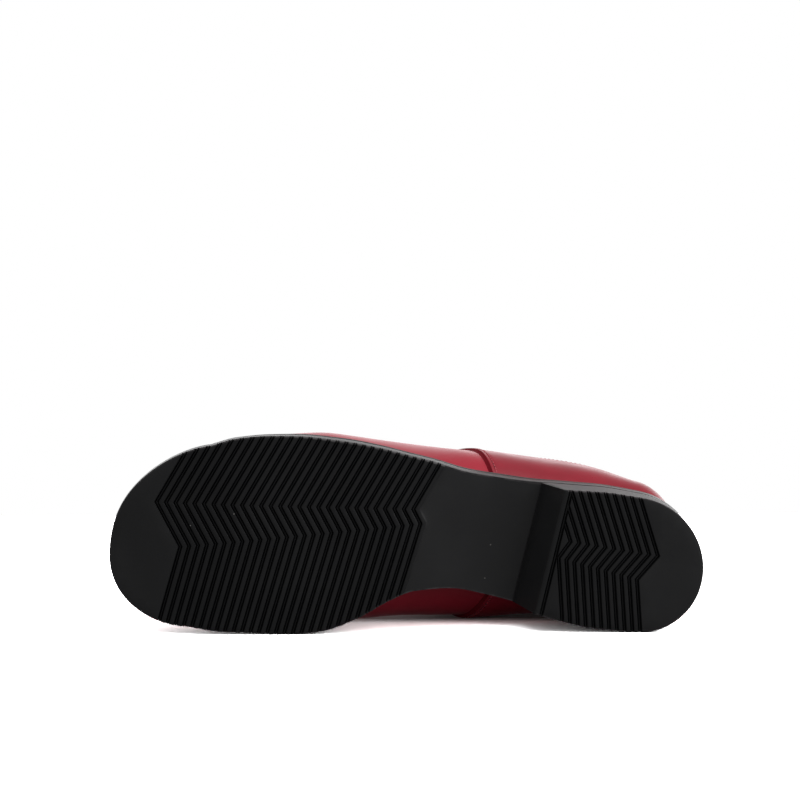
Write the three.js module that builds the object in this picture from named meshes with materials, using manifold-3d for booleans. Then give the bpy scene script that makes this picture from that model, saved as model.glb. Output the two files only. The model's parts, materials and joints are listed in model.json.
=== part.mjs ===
// A left derby shoe, plain red leather on a black rubber sole, lying on its inner side.
// Every piece is modelled in the frame of the last, in millimetres: x runs from the back of the heel
// to the toe, y to the outer (lateral) side of the foot, and z up from the tread. At the end the
// finished shoe is laid on its medial side, sole towards -Y, with its lowest points on the plane Z = 0.

import * as THREE from 'three';
import { mergeVertices } from 'three/addons/utils/BufferGeometryUtils.js';
import { ConvexHull } from 'three/addons/math/ConvexHull.js';
import Module from 'manifold-3d';

const wasm = await Module();
wasm.setup();
const { clamp, lerp, smoothstep, degToRad } = THREE.MathUtils;

// Driving dimensions
const SOLE_LENGTH = 265;
const BALL_WIDTH = 90;
const INSTEP_HEIGHT = 80;
const HEEL_HEIGHT = 22.6;
const SOLE_EDGE = 7.6;
const TOE_SPRING = 9;
const WALL = 1.8;
const QUARTER_STEP = 1.3;
const GAP = 0.3;
const SEAT_GAP = 0.45;

// Sole outline: a row for each section, as shares of the sole length and of the ball width
const SOLE_SECTIONS = [
  { at: 11.7, medial: -34.5, lateral: 33.3 },
  { at: 17.4, medial: -34.9, lateral: 33.8 },
  { at: 24.2, medial: -32.9, lateral: 32.6 },
  { at: 30.2, medial: -29.6, lateral: 31.8 },
  { at: 35.8, medial: -26.9, lateral: 32.6 },
  { at: 41.1, medial: -25.0, lateral: 33.8 },
  { at: 48.1, medial: -27.8, lateral: 37.8 },
  { at: 51.7, medial: -33.3, lateral: 39.2 },
  { at: 57.0, medial: -44.8, lateral: 41.1 },
  { at: 62.3, medial: -53.1, lateral: 42.1 },
  { at: 67.9, medial: -57.0, lateral: 42.2 },
  { at: 75.1, medial: -58.9, lateral: 40.4 },
  { at: 81.1, medial: -60.3, lateral: 36.7 },
  { at: 85.3, medial: -59.8, lateral: 31.4 },
];
const HEEL_ROUND = { lengthPower: 2, widthPower: 2, drift: -1.7 };
const TOE_ROUND = { lengthPower: 1.6, widthPower: 2.3, drift: -7.9 };
const ARCH = { back: 0.295 * SOLE_LENGTH, front: 0.53 * SOLE_LENGTH };
const SPRING_START = 0.75 * SOLE_LENGTH;

// Side of the sole, from the tread up: height and inset of each corner of its lip and groove
const SIDE_STEPS = [
  { height: 0, inset: 0.6 },
  { height: 0.7, inset: 0 },
  { height: 5.2, inset: 0 },
  { height: 5.5, inset: 0.8 },
  { height: 6.1, inset: 0.8 },
  { height: 6.4, inset: 0.1 },
  { height: SOLE_EDGE, inset: 0.3 },
];

// Upper: a row for each section of the last. Widths and drift are shares of the ball width, heights
// shares of the instep height. rise and crown say how full the arch is above the widest point.
const UPPER_SECTIONS = [
  { at: 11.7, medial: -32.6, lateral: 34.4, swell: 42.0, ridge: 160.0, drift: 0, rise: 25, crown: 40 },
  { at: 20.8, medial: -35.2, lateral: 37.7, swell: 52.0, ridge: 155.0, drift: 0, rise: 45, crown: 45 },
  { at: 28.3, medial: -38.9, lateral: 38, swell: 54.0, ridge: 147.0, drift: 0, rise: 54, crown: 47 },
  { at: 35.8, medial: -43.2, lateral: 39, swell: 51.0, ridge: 132.0, drift: -0.6, rise: 52, crown: 46 },
  { at: 42.3, medial: -45.3, lateral: 40, swell: 47.5, ridge: 116.0, drift: -1.3, rise: 47, crown: 46 },
  { at: 49.0, medial: -47.0, lateral: 40.3, swell: 42.5, ridge: 100.6, drift: -2.4, rise: 44, crown: 47 },
  { at: 56.6, medial: -50.3, lateral: 41.2, swell: 36.0, ridge: 88.8, drift: -5.0, rise: 43, crown: 50 },
  { at: 64.9, medial: -53.1, lateral: 42.1, swell: 31.0, ridge: 78.8, drift: -7.8, rise: 45, crown: 53 },
  { at: 72.8, medial: -55.6, lateral: 38.9, swell: 29.4, ridge: 70.0, drift: -10.6, rise: 46, crown: 56 },
  { at: 81.1, medial: -57.0, lateral: 33.5, swell: 30.0, ridge: 61.9, drift: -13.1, rise: 50, crown: 60 },
  { at: 85.3, medial: -56.3, lateral: 28.4, swell: 31.0, ridge: 57.5, drift: -14.2, rise: 52, crown: 62 },
];
const HEEL_OVERHANG = -4.2;
const TOE_OVERHANG = -3.4;
const TOE_POWER = 1.4;
const HEEL_TURN = 0.9;
const FEATHER_INSET = { heel: 2.6, toe: 4.6 };
const TUCK = 0.45;

// Cut edges of the upper, seen from the side: the topline, and the front of each quarter
const TOPLINE = [
  { x: -12, z: 84 },
  { x: 8, z: 81 },
  { x: 32, z: 72 },
  { x: 56, z: 67.5 },
  { x: 76, z: 74 },
  { x: 92, z: 90 },
  { x: 102, z: 108 },
  { x: 110, z: 130 },
];
const QUARTER_FRONT = [
  { z: 8, lateral: 94, medial: 87 },
  { z: 20, lateral: 98.8, medial: 92 },
  { z: 30, lateral: 102.5, medial: 98.5 },
  { z: 39, lateral: 105, medial: 105 },
  { z: 46, lateral: 107.3, medial: 110 },
  { z: 54, lateral: 111.5, medial: 116.5 },
  { z: 62, lateral: 119, medial: 124 },
  { z: 72, lateral: 131, medial: 134 },
  { z: 79, lateral: 137.5, medial: 138 },
  { z: 95, lateral: 139, medial: 139 },
];
const THROAT = { front: 131, back: 60, frontHalf: 7, backHalf: 12, tabFront: 146 };
const EYELET = { pairs: 4, front: 129.5, pitch: 8.8, fromEdge: 6.2, radius: 1.7, sides: 8 };
const LACE = { radius: 1.2, sides: 6 };

const TONGUE = { thickness: 2, front: 146, bend: 133, back: 84, tip: 95, half: 24, tipHalf: 19, low: 48 };
const LACE_ROOM = 2 * LACE.radius + GAP;
const INSOLE_THICKNESS = 2.2;

// Heel block: the breast slants from its foot on the tread forward to its top edge
const BREAST = {
  foot: { lateral: 66.8, medial: 72.4 },
  top: { lateral: 76.3, medial: 82 },
};

// Tread: zigzag grooves, worked out between the first and the last row of each set
const GROOVE = { half: 0.85, floorHalf: 0.4, depth: 1.6, clear: 1 };
const FOREFOOT_TREAD = {
  count: 28,
  lateralSlope: -0.425,
  first: { peakX: 132.9, peakY: 11.8, valleyX: 128.8, valleyY: 5.7, medialSlope: -0.17 },
  last: { peakX: 246.5, peakY: -0.2, valleyX: 233.4, valleyY: -18.4, medialSlope: -0.15 },
};
const HEEL_TREAD = {
  count: 11,
  lateralSlope: 0.465,
  first: { peakX: 21.6, peakY: 5, valleyX: 29.4, valleyY: -6.8, medialSlope: 0.21 },
  last: { peakX: 61.3, peakY: 6.4, valleyX: 65.6, valleyY: -1.5, medialSlope: 0.2 },
};
const BREAST_RIB = 2.7;

const SIDE_STATIONS = 31;
const END_RIBS = 10;
const FAR = 200;
const MERGE_DISTANCE = 1e-3;
const WELD_DISTANCE = 0.01;

const FINISHES = {
  leather: { color: 0x8f2a33, roughness: 0.32, metalness: 0 },
  lining: { color: 0x6b4a3c, roughness: 0.8, metalness: 0 },
  rubber: { color: 0x1b1a1c, roughness: 0.6, metalness: 0 },
  lace: { color: 0x4a1318, roughness: 0.7, metalness: 0 },
};
const DENSITY = { leather: 0.95, lining: 0.6, rubber: 1.05, lace: 0.8 };

// Smooth curve through one column of a table, which never swings past its rows
function smoothColumn(rows, name, scale) {
  const xs = rows.map((row) => row.at * SOLE_LENGTH / 100);
  const ys = rows.map((row) => row[name] * scale / 100);
  const steps = xs.slice(1).map((x, i) => (ys[i + 1] - ys[i]) / (x - xs[i]));
  const slopes = ys.map((_, i) => {
    if (i === 0) return steps[0];
    if (i === steps.length) return steps[i - 1];
    const product = steps[i - 1] * steps[i];
    return product > 0 ? 2 * product / (steps[i - 1] + steps[i]) : 0;
  });
  return (x) => {
    const at = clamp(x, xs[0], xs[xs.length - 1]);
    let i = 0;
    while (i < steps.length - 1 && at > xs[i + 1]) i += 1;
    const width = xs[i + 1] - xs[i];
    const t = (at - xs[i]) / width;
    const rise = (1 - t) ** 2 * t * slopes[i] - t ** 2 * (1 - t) * slopes[i + 1];
    return lerp(ys[i], ys[i + 1], t * t * (3 - 2 * t)) + rise * width;
  };
}

const soleMedial = smoothColumn(SOLE_SECTIONS, 'medial', BALL_WIDTH);
const soleLateral = smoothColumn(SOLE_SECTIONS, 'lateral', BALL_WIDTH);
const upperMedial = smoothColumn(UPPER_SECTIONS, 'medial', BALL_WIDTH);
const upperLateral = smoothColumn(UPPER_SECTIONS, 'lateral', BALL_WIDTH);
const swellHeight = smoothColumn(UPPER_SECTIONS, 'swell', INSTEP_HEIGHT);
const ridgeHeight = smoothColumn(UPPER_SECTIONS, 'ridge', INSTEP_HEIGHT);
const ridgeDrift = smoothColumn(UPPER_SECTIONS, 'drift', BALL_WIDTH);
const archRise = smoothColumn(UPPER_SECTIONS, 'rise', 1);
const archCrown = smoothColumn(UPPER_SECTIONS, 'crown', 1);

const HEEL_CENTRE = SOLE_SECTIONS[0].at * SOLE_LENGTH / 100;
const TOE_CENTRE = SOLE_SECTIONS[SOLE_SECTIONS.length - 1].at * SOLE_LENGTH / 100;

// Height of the outsole's under side: heel seat, arch, flat forefoot and toe spring
function bottomHeight(x) {
  const seat = HEEL_HEIGHT - SOLE_EDGE;
  const spring = clamp((x - SPRING_START) / (SOLE_LENGTH - SPRING_START), 0, 1.1);
  return seat * (1 - smoothstep(x, ARCH.back, ARCH.front)) + TOE_SPRING * spring ** 2;
}

// Height of the feather line, where the upper meets the sole
function featherHeight(x) {
  return bottomHeight(x) + SOLE_EDGE + SEAT_GAP;
}

// Slope of the upper's ridge line, heel to toe
function ridgeSlope(x) {
  return (ridgeHeight(x + 1) - ridgeHeight(x - 1)) / 2;
}

// One place on the sole's edge, with the point of the centre line that its section starts from
function place(foot, centreX) {
  const centre = new THREE.Vector2(centreX, ridgeDrift(centreX));
  const direction = foot.clone().sub(centre);
  const reach = direction.length();
  return { foot, centre, direction: direction.divideScalar(reach), reach };
}

// Places on a rounded end of the sole, from one side to the other
function endPlaces(centreX, length, round, turn) {
  const medial = soleMedial(centreX);
  const lateral = soleLateral(centreX);
  const places = [];
  for (let i = 1; i < END_RIBS; i += 1) {
    const angle = turn * (i / END_RIBS - 0.5) * Math.PI;
    const forward = Math.cos(angle) ** (2 / round.lengthPower);
    const sideways = Math.sign(angle) * Math.abs(Math.sin(angle)) ** (2 / round.widthPower);
    const y = (medial + lateral) / 2 + sideways * (lateral - medial) / 2 + round.drift * forward;
    places.push(place(new THREE.Vector2(centreX + length * forward, y), centreX));
  }
  return places;
}

// All places round the shoe: medial side, toe, lateral side and heel
function placesRound() {
  const stations = [];
  for (let i = 0; i < SIDE_STATIONS; i += 1) {
    stations.push(lerp(HEEL_CENTRE, TOE_CENTRE, i / (SIDE_STATIONS - 1)));
  }
  const medial = stations.map((x) => place(new THREE.Vector2(x, soleMedial(x)), x));
  const lateral = stations.map((x) => place(new THREE.Vector2(x, soleLateral(x)), x));
  const toe = endPlaces(TOE_CENTRE, SOLE_LENGTH - TOE_CENTRE, TOE_ROUND, 1);
  const heel = endPlaces(HEEL_CENTRE, -HEEL_CENTRE, HEEL_ROUND, -1);
  return [...medial, ...toe, ...lateral.reverse(), ...heel];
}

const PLACES = placesRound();

// Point at a distance from the centre line, in the section plane of a place
function pointAt(spot, distance, z) {
  const flat = spot.direction.clone().multiplyScalar(distance).add(spot.centre);
  return new THREE.Vector3(flat.x, flat.y, z);
}

// Geometry with its shared corners joined. Triangles that this closes up are left out, and so are
// pairs that it lays back to back.
function welded(geometry, distance) {
  const bare = geometry.clone();
  bare.deleteAttribute('normal');
  bare.deleteAttribute('uv');
  const merged = mergeVertices(bare, distance);
  const corners = merged.index.array;
  const faces = new Map();
  for (let i = 0; i < corners.length; i += 3) {
    const [a, b, c] = corners.slice(i, i + 3);
    const key = [a, b, c].sort((p, q) => p - q).join();
    const open = a !== b && b !== c && c !== a;
    if (open && !faces.delete(key)) faces.set(key, [a, b, c]);
  }
  merged.setIndex([...faces.values()].flat());
  return merged;
}

// Closed solid from a bare geometry
function solidOf(geometry) {
  const joined = welded(geometry, MERGE_DISTANCE);
  return new wasm.Manifold(new wasm.Mesh({
    numProp: 3,
    vertProperties: new Float32Array(joined.attributes.position.array),
    triVerts: new Uint32Array(joined.index.array),
  }));
}

// Solid through a row of loops with equal counts of points, closed round or capped at both ends
function loft(loops, closedRound) {
  const count = loops[0].length;
  const points = loops.flat();
  const corners = [];
  const last = closedRound ? loops.length : loops.length - 1;
  const across = closedRound ? count - 1 : count;
  for (let i = 0; i < last; i += 1) {
    for (let k = 0; k < across; k += 1) {
      const a = i * count + k;
      const b = ((i + 1) % loops.length) * count + k;
      const c = ((i + 1) % loops.length) * count + (k + 1) % count;
      const d = i * count + (k + 1) % count;
      corners.push(a, b, c, a, c, d);
    }
  }
  if (!closedRound) {
    const end = points.length - count;
    for (let k = 1; k < count - 1; k += 1) {
      corners.push(0, k, k + 1, end, end + k + 1, end + k);
    }
  }
  const geometry = new THREE.BufferGeometry().setFromPoints(points);
  geometry.setIndex(corners);
  return solidOf(geometry);
}

// Prism of a side view (x, z), from one y to another
function sidePrism(outline, fromY, toY) {
  const shape = new THREE.Shape(outline.map(({ x, z }) => new THREE.Vector2(x, z)));
  const geometry = new THREE.ExtrudeGeometry(shape, { depth: toY - fromY, bevelEnabled: false });
  geometry.rotateX(Math.PI / 2);
  geometry.translate(0, toY, 0);
  return solidOf(geometry);
}

// Prism of a plan view (x, y), from one height to another
function planPrism(outline, fromZ, toZ) {
  const shape = new THREE.Shape(outline);
  const geometry = new THREE.ExtrudeGeometry(shape, { depth: toZ - fromZ, bevelEnabled: false });
  geometry.translate(0, 0, fromZ);
  return solidOf(geometry);
}

// Section of the last at a place: from the feather line out to the widest point and up to the ridge
function upperSection(spot) {
  const x = spot.centre.x;
  const toeward = x > SOLE_LENGTH / 2;
  const ahead = Math.abs(spot.direction.x);
  const endShare = toeward ? ahead ** TOE_POWER : smoothstep(ahead, 0, HEEL_TURN);
  const sideWidth = spot.foot.y < spot.centre.y ? -upperMedial(x) : upperLateral(x);
  const soleWidth = spot.foot.y < spot.centre.y ? -soleMedial(x) : soleLateral(x);
  const overhang = lerp(sideWidth - soleWidth, toeward ? TOE_OVERHANG : HEEL_OVERHANG, endShare);
  const inset = lerp(FEATHER_INSET.heel, FEATHER_INSET.toe, smoothstep(spot.foot.x, ARCH.back, ARCH.front));
  const widest = spot.reach + overhang;
  const feather = spot.reach - inset;
  const low = featherHeight(spot.foot.x);
  const middle = Math.max(swellHeight(x), low + 7);
  const top = ridgeHeight(x);
  const crownReach = archCrown(x) * widest;
  const crownTop = top + ridgeSlope(x) * spot.direction.x * crownReach;
  const lower = new THREE.QuadraticBezierCurve(
    new THREE.Vector2(feather, low),
    new THREE.Vector2(widest, lerp(low, middle, TUCK)),
    new THREE.Vector2(widest, middle),
  );
  const arch = new THREE.CubicBezierCurve(
    new THREE.Vector2(widest, middle),
    new THREE.Vector2(widest, lerp(middle, top, archRise(x))),
    new THREE.Vector2(crownReach, crownTop),
    new THREE.Vector2(0, top),
  );
  return { lower, arch };
}

const LOWER_STEPS = 3;
const ARCH_STEPS = 8;

function upperRib(spot) {
  const { lower, arch } = upperSection(spot);
  const profile = [...lower.getPoints(LOWER_STEPS), ...arch.getPoints(ARCH_STEPS).slice(1)];
  return profile.map((p) => pointAt(spot, p.x, p.y));
}

const UPPER_GRID = PLACES.map(upperRib);

// Outward normal of the upper at one point of its grid
function upperNormal(i, k) {
  const top = UPPER_GRID[i].length - 1;
  if (k === top) return new THREE.Vector3(-ridgeSlope(PLACES[i].centre.x), 0, 1).normalize();
  const before = UPPER_GRID[(i + UPPER_GRID.length - 1) % UPPER_GRID.length];
  const after = UPPER_GRID[(i + 1) % UPPER_GRID.length];
  const round = after[k].clone().sub(before[k]);
  const up = UPPER_GRID[i][k + 1].clone().sub(UPPER_GRID[i][Math.max(k - 1, 0)]);
  return round.cross(up).normalize();
}

// Solid of the last, grown or shrunk by an offset that depends on x. Its under side lies on the
// feather line, or a drop below it
function lastSolid(offset, drop) {
  const loops = UPPER_GRID.map((rib, i) => {
    const grown = rib.map((p, k) => upperNormal(i, k).multiplyScalar(offset(p.x)).add(p));
    const foot = grown[0];
    foot.z = featherHeight(foot.x);
    const { centre } = PLACES[i];
    const seat = new THREE.Vector3(centre.x, centre.y, featherHeight(centre.x) - drop);
    const below = new THREE.Vector3(foot.x, foot.y, foot.z - drop);
    return drop > 0 ? [seat, below, ...grown] : [seat, ...grown];
  });
  return loft(loops, true);
}

// Height of the upper's own surface over a point of its instep
function surfaceHeight(x, y) {
  const side = y < ridgeDrift(x) ? soleMedial(x) : soleLateral(x);
  const { arch } = upperSection(place(new THREE.Vector2(x, side), x));
  const reach = Math.abs(y - ridgeDrift(x));
  let low = 0;
  let high = 1;
  for (let i = 0; i < 30; i += 1) {
    const middle = (low + high) / 2;
    if (arch.getPoint(middle).x > reach) low = middle;
    else high = middle;
  }
  return arch.getPoint(high).y;
}

// Point on the instep, lifted off the upper's surface along its normal
function instepPoint(x, y, lift) {
  const slopeX = (surfaceHeight(x + 1, y) - surfaceHeight(x - 1, y)) / 2;
  const slopeY = (surfaceHeight(x, y + 1) - surfaceHeight(x, y - 1)) / 2;
  const normal = new THREE.Vector3(-slopeX, -slopeY, 1).normalize();
  const point = new THREE.Vector3(x, y, surfaceHeight(x, y));
  return { point: point.addScaledVector(normal, lift), normal };
}

// Half width of the gap between the facings
function throatHalf(x) {
  const share = clamp((THROAT.front - x) / (THROAT.front - THROAT.back), 0, 1);
  return lerp(THROAT.frontHalf, THROAT.backHalf, share);
}

// Plan of the gap between the facings, with a round front end
function throatPlan(front) {
  const rows = [THROAT.back, 85, 110, front - THROAT.frontHalf];
  const medial = rows.map((x) => new THREE.Vector2(x, ridgeDrift(x) - throatHalf(x)));
  const lateral = rows.map((x) => new THREE.Vector2(x, ridgeDrift(x) + throatHalf(x)));
  const endX = front - THROAT.frontHalf;
  const round = [-60, -30, 0, 30, 60].map((angle) => new THREE.Vector2(
    endX + THROAT.frontHalf * Math.cos(degToRad(angle)),
    ridgeDrift(endX) + THROAT.frontHalf * Math.sin(degToRad(angle)),
  ));
  return [...medial, ...round, ...lateral.reverse()];
}

// Region behind the front edge of one quarter
function quarterRegion(side, fromY, toY) {
  const edge = QUARTER_FRONT.map((row) => new THREE.Vector2(row[side], row.z));
  const front = new THREE.SplineCurve(edge).getPoints(18).map((p) => ({ x: p.x, z: p.y }));
  const topEdge = front[front.length - 1].x;
  const outline = [{ x: -FAR, z: -FAR }, { x: front[0].x, z: -FAR }, ...front,
    { x: topEdge, z: FAR }, { x: -FAR, z: FAR }];
  return sidePrism(outline, fromY, toY);
}

// Everything above the topline
function collarCut() {
  const edge = TOPLINE.map(({ x, z }) => new THREE.Vector2(x, z));
  const line = new THREE.SplineCurve(edge).getPoints(24).map((p) => ({ x: p.x, z: p.y }));
  const front = line[line.length - 1].x;
  const outline = [...line, { x: front, z: FAR }, { x: -FAR, z: FAR }, { x: -FAR, z: line[0].z }];
  return sidePrism(outline, -FAR, FAR);
}

// Place of each eyelet, front pair first
function eyelets() {
  const spots = [];
  for (let pair = 0; pair < EYELET.pairs; pair += 1) {
    const x = EYELET.front - pair * EYELET.pitch;
    const out = throatHalf(x) + EYELET.fromEdge;
    spots.push({ x, medial: ridgeDrift(x) - out, lateral: ridgeDrift(x) + out });
  }
  return spots;
}

// Punch through the facing at one eyelet
function eyeletPunch(x, y) {
  const { point, normal } = instepPoint(x, y, 0);
  const punch = new THREE.CylinderGeometry(EYELET.radius, EYELET.radius, 14, EYELET.sides);
  punch.applyQuaternion(new THREE.Quaternion().setFromUnitVectors(new THREE.Vector3(0, 1, 0), normal));
  punch.translate(point.x, point.y, point.z);
  return solidOf(punch);
}

function upper() {
  const quarters = quarterRegion('medial', -FAR, -1).add(quarterRegion('lateral', -1, FAR));
  const tabs = planPrism(throatPlan(THROAT.tabFront), 0, FAR);
  const overlay = lastSolid(() => QUARTER_STEP, 0).intersect(quarters).subtract(tabs);
  let shell = lastSolid(() => 0, 0).add(overlay).subtract(lastSolid(() => -WALL, 6));
  shell = shell.subtract(collarCut()).subtract(planPrism(throatPlan(THROAT.front), 40, FAR));
  for (const { x, medial, lateral } of eyelets()) {
    shell = shell.subtract(eyeletPunch(x, medial)).subtract(eyeletPunch(x, lateral));
  }
  return shell;
}

// Sheet under the facings, cut square to the instep at its tip. It lies close under the vamp at its
// front end and bends down behind it, which leaves room for the lace
function tongue() {
  const top = (x) => -WALL - GAP - LACE_ROOM * (1 - smoothstep(x, TONGUE.bend, TONGUE.front));
  const outside = lastSolid(top, 6);
  const inside = lastSolid((x) => top(x) - TONGUE.thickness, 9);
  const plan = [
    { x: TONGUE.back, half: TONGUE.tipHalf },
    { x: TONGUE.tip + 5, half: TONGUE.half },
    { x: TONGUE.front - 10, half: TONGUE.half - 2 },
    { x: TONGUE.front, half: TONGUE.half - 9 },
  ];
  const medial = plan.map(({ x, half }) => new THREE.Vector2(x, ridgeDrift(x) - half));
  const lateral = plan.map(({ x, half }) => new THREE.Vector2(x, ridgeDrift(x) + half));
  const sheet = outside.subtract(inside);
  const tipHeight = ridgeHeight(TONGUE.tip);
  const lean = -ridgeSlope(TONGUE.tip);
  const square = sidePrism([
    { x: TONGUE.tip - lean * tipHeight, z: 0 },
    { x: FAR, z: 0 },
    { x: FAR, z: FAR },
    { x: TONGUE.tip + lean * (FAR - tipHeight), z: FAR },
  ], -FAR, FAR);
  return sheet.intersect(planPrism([...medial, ...lateral.reverse()], TONGUE.low, FAR)).intersect(square);
}

// Flat sheet on the outsole, clear of the upper's wall
function insole() {
  const loops = PLACES.map((spot) => {
    const edge = upperSection(spot).lower.getPoint(0).x - WALL - 3 * GAP;
    const rim = pointAt(spot, edge, 0);
    const low = (x) => featherHeight(x);
    const high = (x) => featherHeight(x) + INSOLE_THICKNESS;
    return [
      new THREE.Vector3(spot.centre.x, spot.centre.y, low(spot.centre.x)),
      new THREE.Vector3(rim.x, rim.y, low(rim.x)),
      new THREE.Vector3(rim.x, rim.y, high(rim.x)),
      new THREE.Vector3(spot.centre.x, spot.centre.y, high(spot.centre.x)),
    ];
  });
  return loft(loops, true);
}

// One groove cutter along a path on the tread, wider at the mouth than at its floor
function grooveCutter(path, heightAt) {
  const loops = path.map((p, i) => {
    const before = path[Math.max(i - 1, 0)];
    const after = path[Math.min(i + 1, path.length - 1)];
    const into = p.clone().sub(before).normalize();
    const out = after.clone().sub(p).normalize();
    const along = into.add(out).normalize();
    const edge = i > 0 ? p.clone().sub(before).normalize() : along;
    const mitre = 1 / Math.max(along.dot(edge), 0.5);
    const side = new THREE.Vector2(-along.y, along.x).multiplyScalar(mitre);
    const mouth = GROOVE.half + (GROOVE.half - GROOVE.floorHalf) * GROOVE.clear / GROOVE.depth;
    const low = heightAt(p.x) - GROOVE.clear;
    const high = heightAt(p.x) + GROOVE.depth;
    const corner = (half, z) => new THREE.Vector3(p.x + side.x * half, p.y + side.y * half, z);
    return [
      corner(mouth, low),
      corner(-mouth, low),
      corner(-GROOVE.floorHalf, high),
      corner(GROOVE.floorHalf, high),
    ];
  });
  return loft(loops, false);
}

// Path of one zigzag, from past the medial edge to past the lateral edge
function zigzagPath(tread, share, medialEnd, lateralEnd) {
  const value = (name) => lerp(tread.first[name], tread.last[name], share);
  const peak = new THREE.Vector2(value('peakX'), value('peakY'));
  const valley = new THREE.Vector2(value('valleyX'), value('valleyY'));
  const medial = new THREE.Vector2(valley.x + value('medialSlope') * (medialEnd - valley.y), medialEnd);
  const lateral = new THREE.Vector2(peak.x + tread.lateralSlope * (lateralEnd - peak.y), lateralEnd);
  return [medial, medial.clone().lerp(valley, 0.5), valley, peak, peak.clone().lerp(lateral, 0.5), lateral];
}

function treadCutters(tread, heightAt) {
  const cutters = [];
  for (let i = 0; i < tread.count; i += 1) {
    const path = zigzagPath(tread, i / (tread.count - 1), -0.7 * BALL_WIDTH, 0.5 * BALL_WIDTH);
    cutters.push(grooveCutter(path, heightAt));
  }
  return cutters;
}

function outsole() {
  const loops = PLACES.map((spot) => {
    const halfway = pointAt(spot, spot.reach / 2, 0);
    const rim = SIDE_STEPS.map(({ height, inset }) => {
      const p = pointAt(spot, spot.reach - inset, 0);
      return new THREE.Vector3(p.x, p.y, bottomHeight(spot.foot.x) + height);
    });
    return [
      new THREE.Vector3(spot.centre.x, spot.centre.y, bottomHeight(spot.centre.x)),
      new THREE.Vector3(halfway.x, halfway.y, bottomHeight(halfway.x)),
      ...rim,
      new THREE.Vector3(halfway.x, halfway.y, bottomHeight(halfway.x) + SOLE_EDGE),
      new THREE.Vector3(spot.centre.x, spot.centre.y, bottomHeight(spot.centre.x) + SOLE_EDGE),
    ];
  });
  let unit = loft(loops, true);
  for (const cutter of treadCutters(FOREFOOT_TREAD, bottomHeight)) unit = unit.subtract(cutter);
  return unit;
}

// Outline of the heel block at one level, from the medial to the lateral end of its breast
function heelLoop(breast, z, inset) {
  const sides = 6;
  const medial = [];
  const lateral = [];
  for (let i = 0; i < sides; i += 1) {
    const medialX = lerp(breast.medial, HEEL_CENTRE, i / (sides - 1));
    const lateralX = lerp(HEEL_CENTRE, breast.lateral, i / (sides - 1));
    medial.push(new THREE.Vector3(medialX, soleMedial(medialX) + inset, z));
    lateral.push(new THREE.Vector3(lateralX, soleLateral(lateralX) - inset, z));
  }
  const round = endPlaces(HEEL_CENTRE, -HEEL_CENTRE, HEEL_ROUND, -1).reverse();
  const back = round.map((spot) => pointAt(spot, spot.reach - inset, z));
  return [...medial, ...back, ...lateral];
}

function heel() {
  const top = HEEL_HEIGHT - SOLE_EDGE - GAP;
  const breastAt = (z) => ({
    medial: lerp(BREAST.foot.medial, BREAST.top.medial, z / top),
    lateral: lerp(BREAST.foot.lateral, BREAST.top.lateral, z / top),
  });
  const levels = [{ z: 0, inset: 0.6 }, { z: 0.7, inset: 0 }, { z: top, inset: 0 }];
  const block = loft(levels.map(({ z, inset }) => heelLoop(breastAt(z), z, inset)), false);
  const medialY = soleMedial(BREAST.foot.medial);
  const lateralY = soleLateral(BREAST.foot.lateral);
  const rib = [-BALL_WIDTH / 2, BALL_WIDTH / 2].map((y) => {
    const footX = lerp(BREAST.foot.medial, BREAST.foot.lateral, (y - medialY) / (lateralY - medialY));
    return new THREE.Vector2(footX - BREAST_RIB, y);
  });
  const behindRib = planPrism([
    new THREE.Vector2(-FAR, -BALL_WIDTH), ...rib, new THREE.Vector2(-FAR, BALL_WIDTH),
  ], -FAR, FAR);
  let tread = grooveCutter(rib, () => 0);
  for (const cutter of treadCutters(HEEL_TREAD, () => 0)) tread = tread.add(cutter.intersect(behindRib));
  return block.subtract(tread);
}

// Straight bar of the lace over one pair of eyelets
function laceBar({ x, medial, lateral }) {
  const lift = QUARTER_STEP + GAP + LACE.radius;
  const half = throatHalf(x);
  const stops = [medial, ridgeDrift(x) - half, ridgeDrift(x) + half, lateral];
  const path = stops.map((y) => instepPoint(x, y, lift).point);
  const loops = path.map((p, i) => {
    const before = path[Math.max(i - 1, 0)];
    const after = path[Math.min(i + 1, path.length - 1)];
    const along = after.clone().sub(before).normalize();
    const side = new THREE.Vector3(1, 0, 0).addScaledVector(along, -along.x).normalize();
    const up = side.clone().cross(along).normalize();
    const loop = [];
    for (let k = 0; k < LACE.sides; k += 1) {
      const angle = 2 * Math.PI * k / LACE.sides;
      loop.push(p.clone().addScaledVector(side, LACE.radius * Math.cos(angle))
        .addScaledVector(up, LACE.radius * Math.sin(angle)));
    }
    return loop;
  });
  return loft(loops, false);
}

// Named mesh of a solid
function piece(name, finish, solid) {
  const { vertProperties, triVerts } = solid.getMesh();
  const geometry = new THREE.BufferGeometry();
  geometry.setAttribute('position', new THREE.BufferAttribute(new Float32Array(vertProperties), 3));
  geometry.setIndex(new THREE.BufferAttribute(new Uint32Array(triVerts), 1));
  const joined = welded(geometry, WELD_DISTANCE);
  joined.computeVertexNormals();
  const mesh = new THREE.Mesh(joined, new THREE.MeshStandardMaterial(FINISHES[finish]));
  mesh.name = name;
  mesh.userData.density = DENSITY[finish];
  return mesh;
}

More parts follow.
